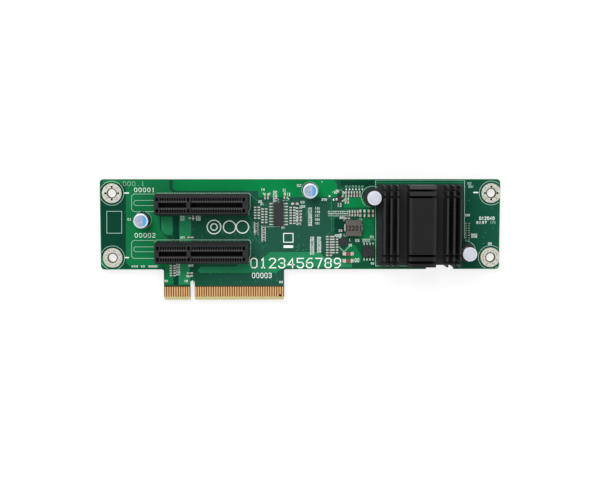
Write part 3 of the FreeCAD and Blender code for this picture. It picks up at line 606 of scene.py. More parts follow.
# Figures as strokes, on a grid 4 wide and 6 high.
STROKES = {
    "0": [[(0, 1), (0, 5), (1, 6), (3, 6), (4, 5), (4, 1), (3, 0), (1, 0), (0, 1)]],
    "1": [[(1, 5), (2, 6), (2, 0)], [(1, 0), (3, 0)]],
    "2": [[(0, 5), (1, 6), (3, 6), (4, 5), (4, 4), (0, 0), (4, 0)]],
    "3": [[(0, 5), (1, 6), (3, 6), (4, 5), (4, 4), (3, 3), (1.5, 3)],
          [(3, 3), (4, 2), (4, 1), (3, 0), (1, 0), (0, 1)]],
    "4": [[(3, 0), (3, 6), (0, 2), (4, 2)]],
    "5": [[(4, 6), (0, 6), (0, 3.5), (3, 3.5), (4, 2.5), (4, 1), (3, 0), (1, 0), (0, 1)]],
    "6": [[(3.5, 6), (1.5, 6), (0, 4), (0, 1), (1, 0), (3, 0), (4, 1), (4, 2.5), (3, 3.5), (0, 3)]],
    "7": [[(0, 6), (4, 6), (1.5, 0)]],
    "8": [[(1, 3.2), (0, 4), (0, 5), (1, 6), (3, 6), (4, 5), (4, 4), (3, 3.2), (1, 3.2),
           (0, 2.2), (0, 1), (1, 0), (3, 0), (4, 1), (4, 2.2), (3, 3.2)]],
    "9": [[(0.5, 0), (2.5, 0), (4, 2), (4, 5), (3, 6), (1, 6), (0, 5), (0, 3.5), (1, 2.5), (4, 3)]],
    ".": [[(1.5, 0), (2.5, 0)]],
}


def write(shape, text, x, y, height, pitch, width, low=TOP, turn=0.0, mark=0):
    """Stroke figures from a lower left corner, given in board millimetres."""
    unit = height / 6
    stretch = min(1.0, (0.78 * pitch - width) / (4 * unit))
    for index, figure in enumerate(text):
        for path in STROKES[figure]:
            points = [at(turned((x, y), index * pitch + px * unit * stretch, py * unit, math.radians(turn)))
                      for px, py in path]
            shape.stroke(points, width, low, low + INK, mark=mark)


SCREW_LOW, SCREW_HIGH = [(x - LEFT, y - LOW) for x, y in HOLES[:2]]

# Copper fields under the mask: the material of each, and outlines in board millimetres.
POURS = {
    "pour_bright": (bright_mask, [
        [(30.98, 38.1), (99.22, 38.1), (100.62, 36.16), (100.64, 30.85), (67.07, 30.88),
         (67.08, 33.51), (32, 33.52), (30.95, 34.59)],
        [(103.49, 30.42), (116.26, 30.41), (116.28, 26.33), (103.5, 26.34)],
    ]),
    "pour_left": (pour_mask, [
        [(11.12, 38.1), (29.41, 38.1), (29.38, 34.5), (30.72, 32.81), (30.67, 27.93),
         (25.25, 23.68), (25.18, 16.96), (27.78, 13.8), (30.81, 11.32), (30.64, -6.51),
         (27.23, -6.5), (27.31, 0.97), (12.54, 0.99), (10.66, 3)],
        [(1.4, 38.1), (10.69, 38.1), (10.68, 36.67), (0.79, 36.67)],
        [(0.24, 4.94), (2.15, 2.16), (4.04, 0.95), (1.07, 0.96), (0.19, 1.95)],
        [(108.84, 21.73), (116.31, 21.72), (116.36, 12.06), (111.66, 12.07), (108.87, 14.22)],
        [(103.98, 12.08), (108.68, 9.94), (110.84, 5.64), (110.85, 3.07), (104.01, 3.08)],
    ]),
    "pour_pale": (pale_mask, [
        [(25.88, 22.62), (30.58, 22.61), (30.5, 14.81), (27.45, 14.82), (25.81, 16.66)],
        [(33.56, 23.67), (38.56, 23.67), (38.46, 11.73), (33.45, 11.74)],
        [(33.05, 4.89), (37.9, 4.89), (37.8, -6.52), (32.94, -6.51)],
        [(41.05, -0.35), (42.55, 1.2), (57.46, 1.18), (59.19, 3.57), (68.57, 3.56), (68.57, 4.58),
         (72.07, 7.41), (93.11, 7.38), (95.54, 4.98), (103.57, 4.62), (107, 2.85), (107.01, 0.79),
         (78.8, 0.84), (76.45, -0.15), (74.53, -1.56), (42.11, -1.51)],
        [(117.28, 37.2), (154.32, 37.2), (154.32, 36.7), (117.28, 36.7)],
    ]),
    "pour_deep": (deep_mask, [
        [(0.78, 36), (0.34, 6.23)] + ring_points(SCREW_LOW, 4.3, 170, -35)
        + [(10.06, 2.79), (10.5, 35.99)] + ring_points(SCREW_HIGH, 4.3, 53, -233),
        [(31.22, 22.83), (33.21, 22.83), (33.12, 12.59), (31.12, 12.59)],
        [(31.03, 3.19), (32.77, 3.19), (32.68, -6.51), (30.94, -6.51)],
        [(101.76, 37.9), (116.22, 37.9), (116.23, 35.09), (111.12, 35.69), (102.2, 35.69)],
        [(99.51, 22.34), (104.16, 21.27), (104.18, 15.08), (99.53, 15.08)],
    ]),
}

TRACES = [
    [(96.68, 30.34), (98.22, 30.34), (98.25, 16.36), (95.14, 13.37)],
    [(63.72, 31.93), (66.68, 29.21)],
    [(62.76, 22.8), (64.53, 20.66), (64.52, 18.32), (66.47, 15.8), (68.49, 9.73)],
    [(61.98, 20.07), (63.67, 18.1), (63.66, 15.97), (69, 9.55)],
    [(68.58, 8.79), (70.8, 10.66)],
    [(38.52, -1.89), (39.51, -6.26)],
    [(42.14, 2.32), (57.47, 2.29)],
    [(86.91, 27.46), (87.84, 25.07), (87.16, 22.78)],
    [(102.54, 34.68), (102.55, 32.29)],
    [(103.84, 25.57), (116.28, 25.56)],
    [(26.58, 21.55), (29.8, 21.55)],
    [(26.57, 20.11), (28.52, 20.11)],
    [(26.55, 18.65), (29.26, 18.65)],
]

# A pale band along the board's edge, beyond the copper: painted highlight where the edge catches the light.
EDGE_HIGHLIGHT = [
    [(0.2, 1.6), (0.2, 36.8), (0.35, 37.5), (0.9, 38.05), (1.6, 38.2), (168.4, 38.2), (169.1, 38.05),
     (169.65, 37.5), (169.8, 36.8), (169.8, 1.6), (169.65, 0.9), (169.1, 0.35), (168.4, 0.2), (152.0, 0.2)],
    [(136.8, 0.2), (78.6, 0.2)],
    [(26.0, 0.2), (1.6, 0.2), (0.9, 0.35), (0.35, 0.9), (0.2, 1.6), (0.2, 1.9)],
]

# Printed lines: path, width, and closed where it ends at its start.
OUTLINES = [
    ([(2.82, 24.84), (9.13, 24.84), (9, 15.52), (2.69, 15.53)], 0.2, "closed"),
    ([(23.09, 32.17), (14.26, 32.18), (13.4, 31.33), (13.33, 25.55), (14.16, 24.71), (23.01, 24.7)], 0.17),
    ([(23.06, 29.46), (14.9, 29.46), (14.34, 28.91), (14.33, 27.85), (14.87, 27.3), (23.04, 27.29)], 0.17),
    ([(22.97, 31.49), (24.07, 32.56), (63.05, 32.53), (63.64, 31.93), (63.62, 26.12),
      (63.11, 24.75), (63.1, 23.22)], 0.17),
    ([(22.87, 12.44), (14.01, 12.45), (13.15, 11.6), (13.07, 5.61), (13.91, 4.75), (22.79, 4.74)], 0.17),
    ([(22.84, 9.7), (14.65, 9.71), (14.09, 9.16), (14.08, 8.18), (14.62, 7.62), (22.82, 7.61)], 0.17),
    ([(22.75, 11.58), (23.85, 12.64), (63.14, 12.59), (63.74, 12), (63.71, 5.88), (63.2, 4.68),
      (63.19, 3.14)], 0.17),
    ([(70.57, 18.18), (75.84, 18.18), (76.69, 18.95)], 0.14),
    ([(116.93, 31.27), (116.89, 37.89)], 0.2),
    ([(116.89, 37.89), (154.78, 37.88)], 0.11),
    ([(154.78, 37.88), (155.09, 13.3)], 0.2),
    ([(116.96, 27.01), (117.1, 1.33)], 0.2),
    ([(117.1, 1.33), (138.09, 1.3)], 0.16),
    ([(103.52, 20.46), (103.52, 21.48), (104.63, 21.48)], 0.2),
    ([(109.92, 21.47), (111.02, 21.47), (111.02, 20.45)], 0.2),
    ([(103.54, 15.24), (103.54, 14.22), (104.65, 14.22)], 0.2),
    ([(109.95, 14.22), (111.05, 14.21), (111.05, 15.24)], 0.2),
    ([(101.17, 9.69), (103.56, 7.54)], 0.2),
    ([(105.95, 9.68), (103.56, 7.54)], 0.2),
    ([(101.24, 13.36), (102.01, 13.97)], 0.2),
    ([(98.38, 32.72), (100.08, 33.82), (102.45, 33.82)], 0.15),
    ([(111.4, 12.24), (111.4, 12.92), (116.7, 12.92), (116.7, 12.23)], 0.15),
]

# Marks in figures: text, left x and low y in board millimetres, height, pitch, line width,
# and thin where the ink is faint.
LABELS = [
    ("000.1", (9.88, 35.67), 1.75, 1.93, 0.13, "thin"),
    ("00001", (14.59, 33.10), 1.6, 1.86, 0.24),
    ("00002", (14.60, 13.78), 1.65, 1.86, 0.24),
    ("00003", (64.44, -3.65), 2.0, 1.75, 0.28),
    ("0123456789", (63.82, 0.65), 4.0, 3.96, 0.5),
    ("000", (13.16, 0.96), 0.68, 0.95, 0.15),
    ("00", (17.07, 0.95), 0.68, 0.95, 0.15),
    ("000000", (20.24, 0.94), 0.68, 0.65, 0.14),
    ("01", (11.57, 20.97), 0.9, 0.95, 0.16),
    ("02", (83.59, 35.28), 0.95, 1.0, 0.17),
    ("03", (85.12, 28.22), 0.85, 0.9, 0.16),
    ("102", (84.61, 26.44), 0.85, 0.85, 0.16),
    ("01", (76.95, 17.41), 0.9, 0.8, 0.16),
    ("10", (68.31, 33.58), 0.85, 0.85, 0.16),
    ("11", (77.48, 33.15), 1.2, 0.75, 0.18),
    ("12", (79.34, 31.37), 1.2, 0.75, 0.18),
    ("20", (67.11, 28.49), 0.9, 0.85, 0.16),
    ("21", (67.96, 27.47), 0.85, 0.85, 0.16),
    ("200", (93.96, 29.41), 0.8, 0.85, 0.18),
    ("13", (100.78, 26.77), 1.6, 0.95, 0.2),
    ("60", (99.31, 32.38), 1.1, 0.8, 0.18),
    ("300", (101.64, 21.57), 0.85, 0.85, 0.16),
    ("7", (104.09, 28.13), 1.5, 0.8, 0.2),
    ("25", (101.32, 16.1), 0.8, 0.85, 0.14),
    ("400", (99.62, 14.05), 0.9, 0.85, 0.17),
    ("9", (101.93, 13.79), 1.4, 0.85, 0.2),
    ("05", (108.41, 11.81), 1.0, 1.0, 0.17),
    ("200", (111.57, 11.73), 1.1, 1.1, 0.16),
    ("04", (114.73, 13.44), 0.9, 0.9, 0.15),
    ("88", (108.2, 3.07), 1.5, 1.1, 0.18),
    ("06", (115.13, 2.11), 0.7, 0.75, 0.16),
    ("05", (105.6, 9.85), 0.9, 0.8, 0.17),
    ("1", (105.76, 11.99), 1.0, 0.8, 0.17),
    ("50", (156.17, 36.09), 0.9, 0.85, 0.17, "thin"),
    ("501", (156.53, 34.82), 0.85, 0.8, 0.16, "thin"),
    ("500", (154.89, 22.63), 0.85, 0.85, 0.17),
    ("012040", (161.32, 21.1), 1.25, 1.14, 0.25),
    ("0107", (160.1, 19.45), 0.9, 1.2, 0.24),
    ("170", (166.0, 19.45), 0.9, 0.8, 0.13, "thin"),
    ("00", (165.24, 10.37), 0.9, 0.9, 0.2),
    ("00", (34.05, 21.97), 0.8, 0.95, 0.17),
    ("00", (34.04, 20.86), 0.8, 0.95, 0.17),
    ("333", (40.58, 21.88), 0.85, 0.72, 0.17),
    ("333", (40.57, 20.85), 0.85, 0.72, 0.17),
    ("0000", (157.97, 14.39), 0.7, 0.66, 0.14),
    ("0000", (157.99, 13.44), 0.7, 0.66, 0.14),
    ("201", (33.89, 13.27), 0.8, 0.8, 0.19),
    ("333", (36.3, -3.26), 0.8, 0.75, 0.17),
    ("00", (26.98, -5.3), 0.7, 0.8, 0.17),
    ("10", (35.51, -5.4), 0.8, 0.8, 0.2),
    ("00", (75.89, -5.9), 0.8, 0.9, 0.17),
    ("407", (37.18, 1.21), 0.8, 0.8, 0.2),
]

# Short bars beside the screw holes and a few pin-one marks: centre, width, height.
BARS = [
    ((11.3, 32.6), 2.0, 0.5), ((10.94, 5.11), 2.0, 0.5), ((159.63, 32.73), 2.1, 0.55),
    ((17.29, 17.9), 0.45, 0.45), ((88.57, 30.68), 0.45, 0.45), ((97.36, 31.19), 0.7, 0.6),
    ((94.12, 37.31), 0.35, 0.35), ((99.07, 29.75), 0.5, 0.9),
]

# Columns of part numbers: lower left of the first, step, rows, height, and how many figures.
COLUMNS = [
    ((88.18, 25.58), -0.995, 8, 0.72, 3), ((91.25, 25.67), -1.6, 5, 0.82, 3),
    ((89.13, 13.12), -0.98, 8, 0.72, 3), ((92.11, 13.12), -0.98, 7, 0.72, 3),
    ((65.2, 19.39), -0.98, 5, 0.72, 3), ((68.44, 17.85), -0.98, 7, 0.72, 3),
    ((83.33, 24.48), -1.1, 6, 0.72, 3), ((31.91, 1.65), -1.05, 5, 0.72, 3),
    ((73.32, 32.73), -1.0, 5, 0.75, 3), ((39.15, 22.14), -1.0, 2, 0.72, 1),
    ((101.24, 13.36), -1.0, 1, 0.7, 2),
]


def columns(shape):
    """Stacks of small part numbers, counting on by sevens."""
    number = 100
    for (x, y), step, rows, height, figures in COLUMNS:
        for row in range(rows):
            number += 7
            text = str(number % 10 ** figures).zfill(figures)
            write(shape, text, x, y + row * step, height, height * 0.88, 0.15)


def upright_numbers(shape):
    """The numbers that stand on end over the rows of upright chips."""
    for index in range(6):
        x, y = 104.75 + index * 1.37, 33.75
        shape.block(at((x - 0.3, y + 0.3)), (0.55, 0.5), TOP, TOP + INK)
        write(shape, str(10 + index), x, y + 0.75, 0.62, 0.72, 0.12, turn=90, mark=1)
    for index in range(9):
        write(shape, str(120 + index), 97.38 + index * 0.98, 22.67, 0.54, 0.92, 0.14, turn=90)


def blank_marks(shape):
    """Plain rings, a box and a bar where a card carries its approval marks."""
    for centre, radius in (((48.2, 18.12), 2.9), ((48.2, 18.12), 1.4),
                           ((54.79, 18.11), 2.6), ((60.31, 18.11), 2.6)):
        ring(shape, at(centre), radius, 0.42, 0)
    box = [(77.79, 15.36), (81.8, 15.36), (81.8, 11.59), (77.79, 11.59)]
    shape.stroke([at(point) for point in box], 0.35, TOP, TOP + INK, closed=True)
    shape.block(at((79.83, 9.72)), (4.1, 1.1), TOP, TOP + INK)


def ring(shape, centre, radius, width, mark=1):
    """A printed circle, left open where it would run off the board."""
    points = ring_points(centre, radius, steps=56)[:-1]
    inside = [LEFT + 0.3 < x < RIGHT - 0.3 and y > LOW + 0.3 for x, y in points]
    if all(inside):
        shape.stroke(points, width, TOP, TOP + INK, closed=True, mark=mark)
        return
    start = next(i for i in range(len(points)) if inside[i] and not inside[i - 1])
    runs = [[]]
    for i in range(start, start + len(points)):
        if inside[i % len(points)]:
            runs[-1].append(points[i % len(points)])
        elif runs[-1]:
            runs.append([])
    for run in runs:
        if len(run) > 1:
            shape.stroke(run, width, TOP, TOP + INK, mark=mark)


def print_marks():
    """All print on the component side, in two strengths of ink."""
    shape = Shape("print_marks", "green_board", [ink, dim_ink])
    for text, (x, y), height, pitch, width, *thin in LABELS:
        write(shape, text, x, y, height, pitch, width, mark=1 if thin else 0)
    for path, width, *closed in OUTLINES:
        shape.stroke([at(point) for point in path], width, TOP, TOP + INK, bool(closed), mark=1)
    for centre, across, high in BARS:
        shape.block(at(centre), (across, high), TOP, TOP + INK)
    columns(shape)
    upright_numbers(shape)
    for centre in (CAN_LEFT, CAN_RIGHT):
        ring(shape, centre, 3.55, 0.14)
    for centre, start, end in ((PIN_LEFT, 62, 262), (PIN_RIGHT, -62, 90)):
        shape.stroke(ring_points(centre, 4.55, start, end), 0.18, TOP, TOP + INK, mark=1)
    blank_marks(shape)
    for hole in HOLES:
        ring(shape, hole, 5.1, 0.16)
    shape.build()


def strips(name, material, paths, width, height):
    """Raised lines of one width, as a piece of their own."""
    shape = Shape(name, "green_board", [material])
    for path in paths:
        shape.stroke([at(point) for point in path], width, TOP, TOP + height)
    shape.build()


def copper_pours():
    """Fields, clearings, board edge and traces, as thin lifts of the mask; the board edge is painted
    highlight, the clearings round the cans painted shade.
    """
    for name, (material, outlines) in POURS.items():
        shape = Shape(name, "green_board", [material])
        for index, outline in enumerate(outlines):
            level = COPPER * (0.6 + 0.05 * index)    # no two fields share a level where they meet
            shape.plate([at(point) for point in outline], TOP, TOP + level, 0.02)
        shape.build()
    # Painted shade: darker mask round each can's foot, laid as a clearing in the copper.
    shape = Shape("can_clearings_painted_shade", "green_board", [deep_mask])
    for centre in (CAN_LEFT, CAN_RIGHT):
        shape.plate(ring_points(centre, 3.46)[:-1], TOP, TOP + 1.15 * COPPER)
    shape.build()
    strips("board_edge_highlight", edge_highlight_mask, EDGE_HIGHLIGHT, 0.36, 0.4 * COPPER)
    strips("copper_traces", trace_mask, TRACES, 0.22, COPPER)


# ---------------------------------------------------------------- placed parts

CAN_LEFT = centre_of("capacitor_left_can")
CAN_RIGHT = centre_of("capacitor_right_can")
PIN_LEFT = centre_of("push_pin_1")
PIN_RIGHT = centre_of("push_pin_2")

RING = 4.15         # outer radius of the tinned ring round a screw hole
RING_IN = 2.2
COLLAR = 2.06       # outer radius of the plated collar inside it
COLLAR_POINTS = 0.22    # how far the collar's rim reaches out at four corners


def screw_rings():
    """Tinned rings, plated barrels and vias round the four screw holes."""
    shape = Shape("screw_rings", "tin_plate", [ring_tin, barrel, via_shade_disc, via_filled])
    for centre in HOLES:
        reach = min(RING, RIGHT - centre[0] - 0.06)
        for low, high in ((TOP, TOP + 0.05), (BACK, BACK - 0.05)):
            annulus(shape, centre, RING_IN, RING, low, high, reach)
            annulus(shape, centre, HOLE - 0.02, COLLAR, low, low + (high - low) * 1.2, reach, 1,
                    COLLAR_POINTS)
        shape.lathe(centre, [(HOLE - 0.03, BACK - 0.02), (HOLE, BACK - 0.02), (HOLE, TOP + 0.02),
                             (HOLE - 0.03, TOP + 0.02)], mark=1)
        # The two upper rings have four open vias, drawn as black discs of painted shade, the two lower ones
        # eight filled ones.
        upper = centre[1] > LOW + BOARD_WIDTH / 2
        count, first, out, radius, mark = (4, 0, 2.72, 0.46, 2) if upper else (8, 22.5, 3.05, 0.26, 3)
        disc = [(0, TOP + 0.03), (radius, TOP + 0.03), (radius, TOP + 0.062), (0, TOP + 0.062)]
        for step in range(count):
            angle = math.radians(360 / count * step + first)
            shape.lathe(turned(centre, out, 0.0, angle), disc, 12, mark, soft=False)
        for step in range(4 if upper else 0):
            angle = math.radians(90 * step + 45)
            for out in (2.8, 3.45):
                shape.block(turned(centre, out, 0.0, angle), (0.28, 0.8), TOP + 0.03, TOP + 0.058,
                            mark=3, turn=angle)
    shape.build()


def annulus(shape, centre, inner, outer, low, high, reach, mark=0, points_out=0.0):
    """A flat ring, cut straight at the board's edge; its rim can reach out to four corners."""
    count = 48
    points = []
    for radius in (inner, outer):
        for i in range(count):
            angle = 2 * math.pi * i / count
            length = radius + (points_out * math.cos(4 * angle) if radius == outer else 0.0)
            x = min(length * math.cos(angle), reach)
            points.append((centre[0] + x, centre[1] + length * math.sin(angle)))
    inner_low, outer_low, inner_high, outer_high = row_of_rings(4, count)
    shape.add([(x, y, z) for z in (low, high) for x, y in points],
              bands([inner_low, outer_low, outer_high, inner_high, inner_low]), mark)


CAN_RADIUS = 3.15
CAN_ROUND = 0.5     # the rim's rounding
FILM_RADIUS = 2.52
BAND_CHORD = 0.85   # from the axis to the straight edge of the blue band


def cans():
    """Turned cans: a wall with its crimp, painted darker as shade, a rim, a seal, and the printed film in
    two colours.
    """
    for node, centre in (("capacitor_left_can", CAN_LEFT), ("capacitor_right_can", CAN_RIGHT)):
        foot, top = heights_of(node)
        shape = Shape(node + "_turned", "capacitor_can", [can_metal, can_top, can_blue, can_base, shaded_can_wall])
        rim = [(CAN_RADIUS - CAN_ROUND * (1 - math.cos(math.radians(angle))),
                top - CAN_ROUND * (1 - math.sin(math.radians(angle)))) for angle in (0, 22, 45, 68, 90)]
        wall = [(0, foot), (2.9, foot), (3.12, foot + 0.12), (3.12, foot + 0.75), (2.9, foot + 1.0),
                (2.9, foot + 1.2), (3.14, foot + 1.45), (3.14, top - 0.55), (0, top - 0.55)]
        seal = [(0, foot - 0.1), (2.95, foot - 0.1), (2.95, foot + 0.05), (0, foot + 0.05)]
        shape.lathe(centre, wall, 56, mark=4)
        shape.lathe(centre, [(0, top - 0.6), (CAN_RADIUS, top - 0.6)] + rim
                    + [(FILM_RADIUS - 0.02, top - 0.03), (0, top - 0.03)], 56)
        shape.lathe(centre, seal, mark=3)
        bend = math.degrees(math.acos(BAND_CHORD / FILM_RADIUS))
        for start, end, level, mark in ((bend, 360 - bend, 0.012, 1), (-bend, bend, 0.006, 2)):
            shape.plate(ring_points(centre, FILM_RADIUS, start, end, 64), top - 0.03, top - level, mark=mark)
        shape.build(replaces=(node,))


COIL_TURNS, COIL_RADIUS, COIL_WIRE = 6, 2.3, 0.27
COIL_END = 0.08     # share of the wire that lies flat at each end


def push_pins():
    """Each pin again with rounded edges, in a lighter nylon as a painted highlight on its rim, with its face
    on top, and its spring as a wound wire.
    """
    for number, centre in ((1, PIN_LEFT), (2, PIN_RIGHT)):
        node, spring = "push_pin_%d" % number, "push_pin_spring_%d" % number
        soften(node, pin_rim_highlight, 0.22, 3)
        top = heights_of(node)[1]
        shape = Shape(node + "_face", "white_plastic", [pin_nylon])
        shape.lathe(centre, [(0, top - 0.2), (2.62, top - 0.2), (2.62, top - 0.05), (2.5, top + 0.02),
                             (0, top + 0.02)], 44)
        shape.build()
        low, high = heights_of(spring)
        path = []
        for i in range(COIL_TURNS * 20 + 1):
            share = i / (COIL_TURNS * 20)
            rise = min(1.0, max(0.0, (share - COIL_END) / (1 - 2 * COIL_END)))
            angle = 2 * math.pi * COIL_TURNS * share
            path.append((*turned(centre, COIL_RADIUS, 0.0, angle),
                         low + COIL_WIRE + (high - low - 2 * COIL_WIRE) * rise))
        coil = Shape("push_pin_coil_%d" % number, "spring_steel", [wire])
        coil.tube(path, COIL_WIRE)
        coil.build(replaces=(spring,))


def chip_pieces(node, slot, body, share, pad_reach):
    """Chip parts from the CAD boxes: a body, two plated ends that each take a share of the length,
    and solder that reaches out beyond them on the pads."""
    bodies = Shape(node + "_bodies", slot, [body])
    ends = Shape(node + "_ends", "tin_plate", [end_metal, solder])
    for low, high in islands(node):
        centre = ((low[0] + high[0]) / 2, (low[1] + high[1]) / 2)
        width, length = sorted((high[0] - low[0], high[1] - low[1]))
        along_y = high[1] - low[1] > high[0] - low[0]
        # Set by a machine, and never quite straight.
        turn = (math.pi / 2 if along_y else 0.0) + math.radians(rng.uniform(-1.5, 1.5))
        cap = length * share
        bodies.block(centre, (length - cap, width - 0.02), low[2] + 0.02, high[2] - 0.015,
                     0.05 * width, turn=turn)
        for side in (-1, 1):
            place = turned(centre, side * (length - cap) / 2, 0.0, turn)
            ends.block(place, (cap, width + 0.03), low[2], high[2], 0.06 * width, turn=turn)
            place = turned(centre, side * (length / 2 + pad_reach / 2 - cap / 2), 0.0, turn)
            ends.plate(clipped_corners(place, cap + pad_reach, width + 0.18, turn), TOP,
                       TOP + 0.32 * (high[2] - low[2]), 0.12 * width + 0.02, mark=1)
    bodies.build(replaces=(node,))
    ends.build()


# Solder under a foot: pad length, and how much of it shows beyond the toe.
SOLDER_PADS = {"clock_chip_leads": (1.9, 1.0), "memory_chip_leads": (1.2, 0.95),
               "transistor_leads": (0.95, 0.32), "inductor_terminals": (0.95, 0.32)}


def lead_solder():
    """Solder fillets round the feet of the leaded chips and the inductor."""
    shape = Shape("lead_solder", "tin_plate", [solder])
    for node, (length, beyond) in SOLDER_PADS.items():
        along = 1 if node == "memory_chip_leads" else 0    # the axis that the feet point along
        for low, high in islands(node):
            place = [(low[0] + high[0]) / 2, (low[1] + high[1]) / 2]
            outward = 1 if place[along] > centre_of(node)[along] else -1
            toe = high[along] if outward > 0 else low[along]
            width = high[1 - along] - low[1 - along]
            place[along] = toe - outward * (length / 2 - beyond)
            pad = clipped_corners(place, length, width + 0.22, along * math.pi / 2)
            shape.plate(pad, TOP, TOP + 0.16, 0.09)
    shape.build()


# Rows of tiny resistors between bare pads: first centre, pad size, how far apart the pads' centres are,
# step, count, and whether the pads stand one above the other.
BARE_PADS = [
    ((156.3, 19.55), (0.55, 0.5), 1.1, (0, -1.02), 8, False),
    ((84.44, 26.18), (0.55, 0.5), 1.1, (0, -1.15), 7, False),
    ((66.31, 19.98), (0.55, 0.5), 1.2, (0, -1.02), 6, False),
    ((69.37, 18.35), (0.55, 0.5), 1.2, (0, -1.02), 7, False),
    ((74.84, 29.77), (0.6, 0.55), 1.3, (0, -1.1), 2, False),
    ((77.81, 28.83), (0.55, 0.5), 1.0, (1.4, 0), 2, True),
]

# Long pads set askew between the small parts: centre, and turn in degrees.
V_PADS = [(69.5, 32.1, -50), (71.7, 32.1, 50), (78.5, 32.1, 90), (79.6, 30.3, -40),
          (100.9, 33.4, -50), (103.5, 32.4, 50), (100.7, 29.6, 0), (103.5, 29.5, 25)]


def bare_pads():
    """The smallest resistors, their pads, and the pads set askew."""
    shape = Shape("bare_pads", "tin_plate", [solder])
    bodies = Shape("tiny_resistors", "resistor_black", [glaze])
    for centre, (across, high), apart, step, count, upright in BARE_PADS:
        for index in range(count):
            x, y = centre[0] + step[0] * index, centre[1] + step[1] * index
            size = (0.42, apart - 0.1) if upright else (apart - 0.1, 0.42)
            bodies.block(at((x, y)), size, TOP, TOP + 0.33, 0.04)
            for side in (-apart / 2, apart / 2):
                place = at((x, y + side) if upright else (x + side, y))
                shape.plate(clipped_corners(place, across, high, 0.0), TOP, TOP + 0.05, 0.05)
    for x, y, turn in V_PADS:
        shape.plate(clipped_corners(at((x, y)), 1.5, 0.6, math.radians(turn)), TOP, TOP + 0.09, 0.07)
    shape.build()
    bodies.build()


# Distances from a slot's middle line: its ribs, its joints behind the board, and those in front.
RIBS, INNER_JOINTS, OUTER_JOINTS, FRONT_JOINTS = 1.47, 2.0, 4.05, 4.2


def slot_details():
    """The ribs along each mouth, painted lighter as a highlight, and the solder that shows beside and under
    each slot.
    """
    joints = Shape("slot_joints", "tin_plate", [solder])
    ribs = Shape("slot_ribs", "black_housing", [rib_nylon_highlight])
    for number in (1, 2):
        housing = "slot_%d_housing" % number
        middle, top = centre_of(housing)[1], heights_of(housing)[1]
        for low, high in islands("slot_%d_contacts" % number):
            x, y = (low[0] + high[0]) / 2, (low[1] + high[1]) / 2
            side = 1 if y > middle else -1
            outer = abs(y - middle) > 2.5
            ribs.block((x + CONTACT_PITCH / 2, middle + side * RIBS), (0.42, 0.5), top - 0.05, top + 0.03)
            place = (x, middle + side * (OUTER_JOINTS if outer else INNER_JOINTS))
            dome(joints, place, 0.62, BACK, -0.45)
            joints.block(place, (0.3, 0.3), BACK - 1.15, BACK - 0.2)
            if outer:
                dome(joints, (x, middle + side * FRONT_JOINTS), 0.34, TOP, 0.12)
    joints.build()
    ribs.build()


def dome(shape, centre, radius, level, height):
    """A low cone of solder with a rounded shoulder."""
    shape.lathe(centre, [(0, level), (radius, level), (radius * 0.8, level + height * 0.45),
                         (radius * 0.45, level + height * 0.9), (0, level + height)], 10)


def back_face():
    """Solder joints and copper on the hidden face."""
    shape = Shape("back_joints", "tin_plate", [solder])
    for centre in (CAN_LEFT, CAN_RIGHT):
        for side in (-1.25, 1.25):
            dome(shape, (centre[0] + side, centre[1]), 0.8, BACK, -0.5)
    shape.build()
    pours = Shape("back_pours", "green_board", [pour_mask])
    for x0, y0, x1, y1 in ((10.5, 1.2, 24, 37), (66, 3, 110, 36), (120, 3, 150, 36)):
        outline = [(x0 + 2, y0), (x1 - 2, y0), (x1, y0 + 2), (x1, y1 - 2),
                   (x1 - 2, y1), (x0 + 2, y1), (x0, y1 - 2), (x0, y0 + 2)]
        pours.plate([at(point) for point in outline], BACK, BACK - COPPER, 0.02)
    pours.build()


# Fields of small vias: left, low, right, high in board millimetres, and how many.
VIA_FIELDS = [
    (66.5, 26, 80, 30, 14), (60, 3, 66, 14, 12), (83, 8, 92, 15, 12), (92, 23, 98, 29, 8),
    (97, 8, 100, 25, 10), (111, 26, 116, 31, 10), (108, 13, 116, 21, 10), (156.5, 8, 168, 30, 9),
    (26, 13, 31, 22, 6), (39, 14, 62, 21, 14), (28, -6, 34, 3, 8), (42, -6, 76, 4, 24),
    (10.5, 6, 13, 33, 8), (118, 1, 156, 3, 4), (81, 1, 105, 6, 6),
]


def vias():
    """Small plated holes, filled with mask, scattered along the runs of copper."""
    shape = Shape("vias", "green_board", [pale_mask])
    rim = [(0, TOP), (0.27, TOP), (0.24, TOP + 0.02), (0.12, TOP + 0.024), (0, TOP + 0.01)]
    for left, low, right, high, count in VIA_FIELDS:
        for _ in range(count):
            place = at((rng.uniform(left, right), rng.uniform(low, high)))
            shape.lathe(place, rim, 10, soft=False)
    shape.build()


def chip_bodies():
    """The moulded bodies, with pin-one dimples and the inductor's figures."""
    for node, width in (("clock_chip_body", 0.12), ("memory_chip_body", 0.12),
                        ("transistor_body", 0.08), ("regulator_chip", 0.06)):
        soften(node, chip_black, width)
    soften("inductor_core", powder, 0.22, 3)
    dimples = Shape("chip_dimples", "chip_black", [chip_mark])
    for node, dx, dy, radius in (("clock_chip_body", -1.3, 4.2, 0.35),
                                 ("memory_chip_body", -1.8, -1.3, 0.3)):
        top = heights_of(node)[1]
        dimples.lathe(turned(centre_of(node), dx, dy, 0.0),
                      [(0, top - 0.05), (radius, top - 0.05), (radius, top + 0.004),
                       (radius * 0.8, top + 0.004), (0, top - 0.02)], 20)
    dimples.build()
    low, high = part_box("inductor_core")
    top = high[2] / MM
    x, y = centre_of("inductor_core")
    figures = Shape("inductor_figures", "inductor_grey", [number_ink])
    write(figures, "220", x - LEFT - 2.05, y - LOW - 0.95, 1.85, 1.5, 0.4, low=top)
    for side in (-1, 1):
        middle = x + side * ((high[0] - low[0]) / 2 / MM - 0.42)
        figures.block((middle, y), (0.42, 2.9), top - 0.02, top + 0.008)
    figures.build()


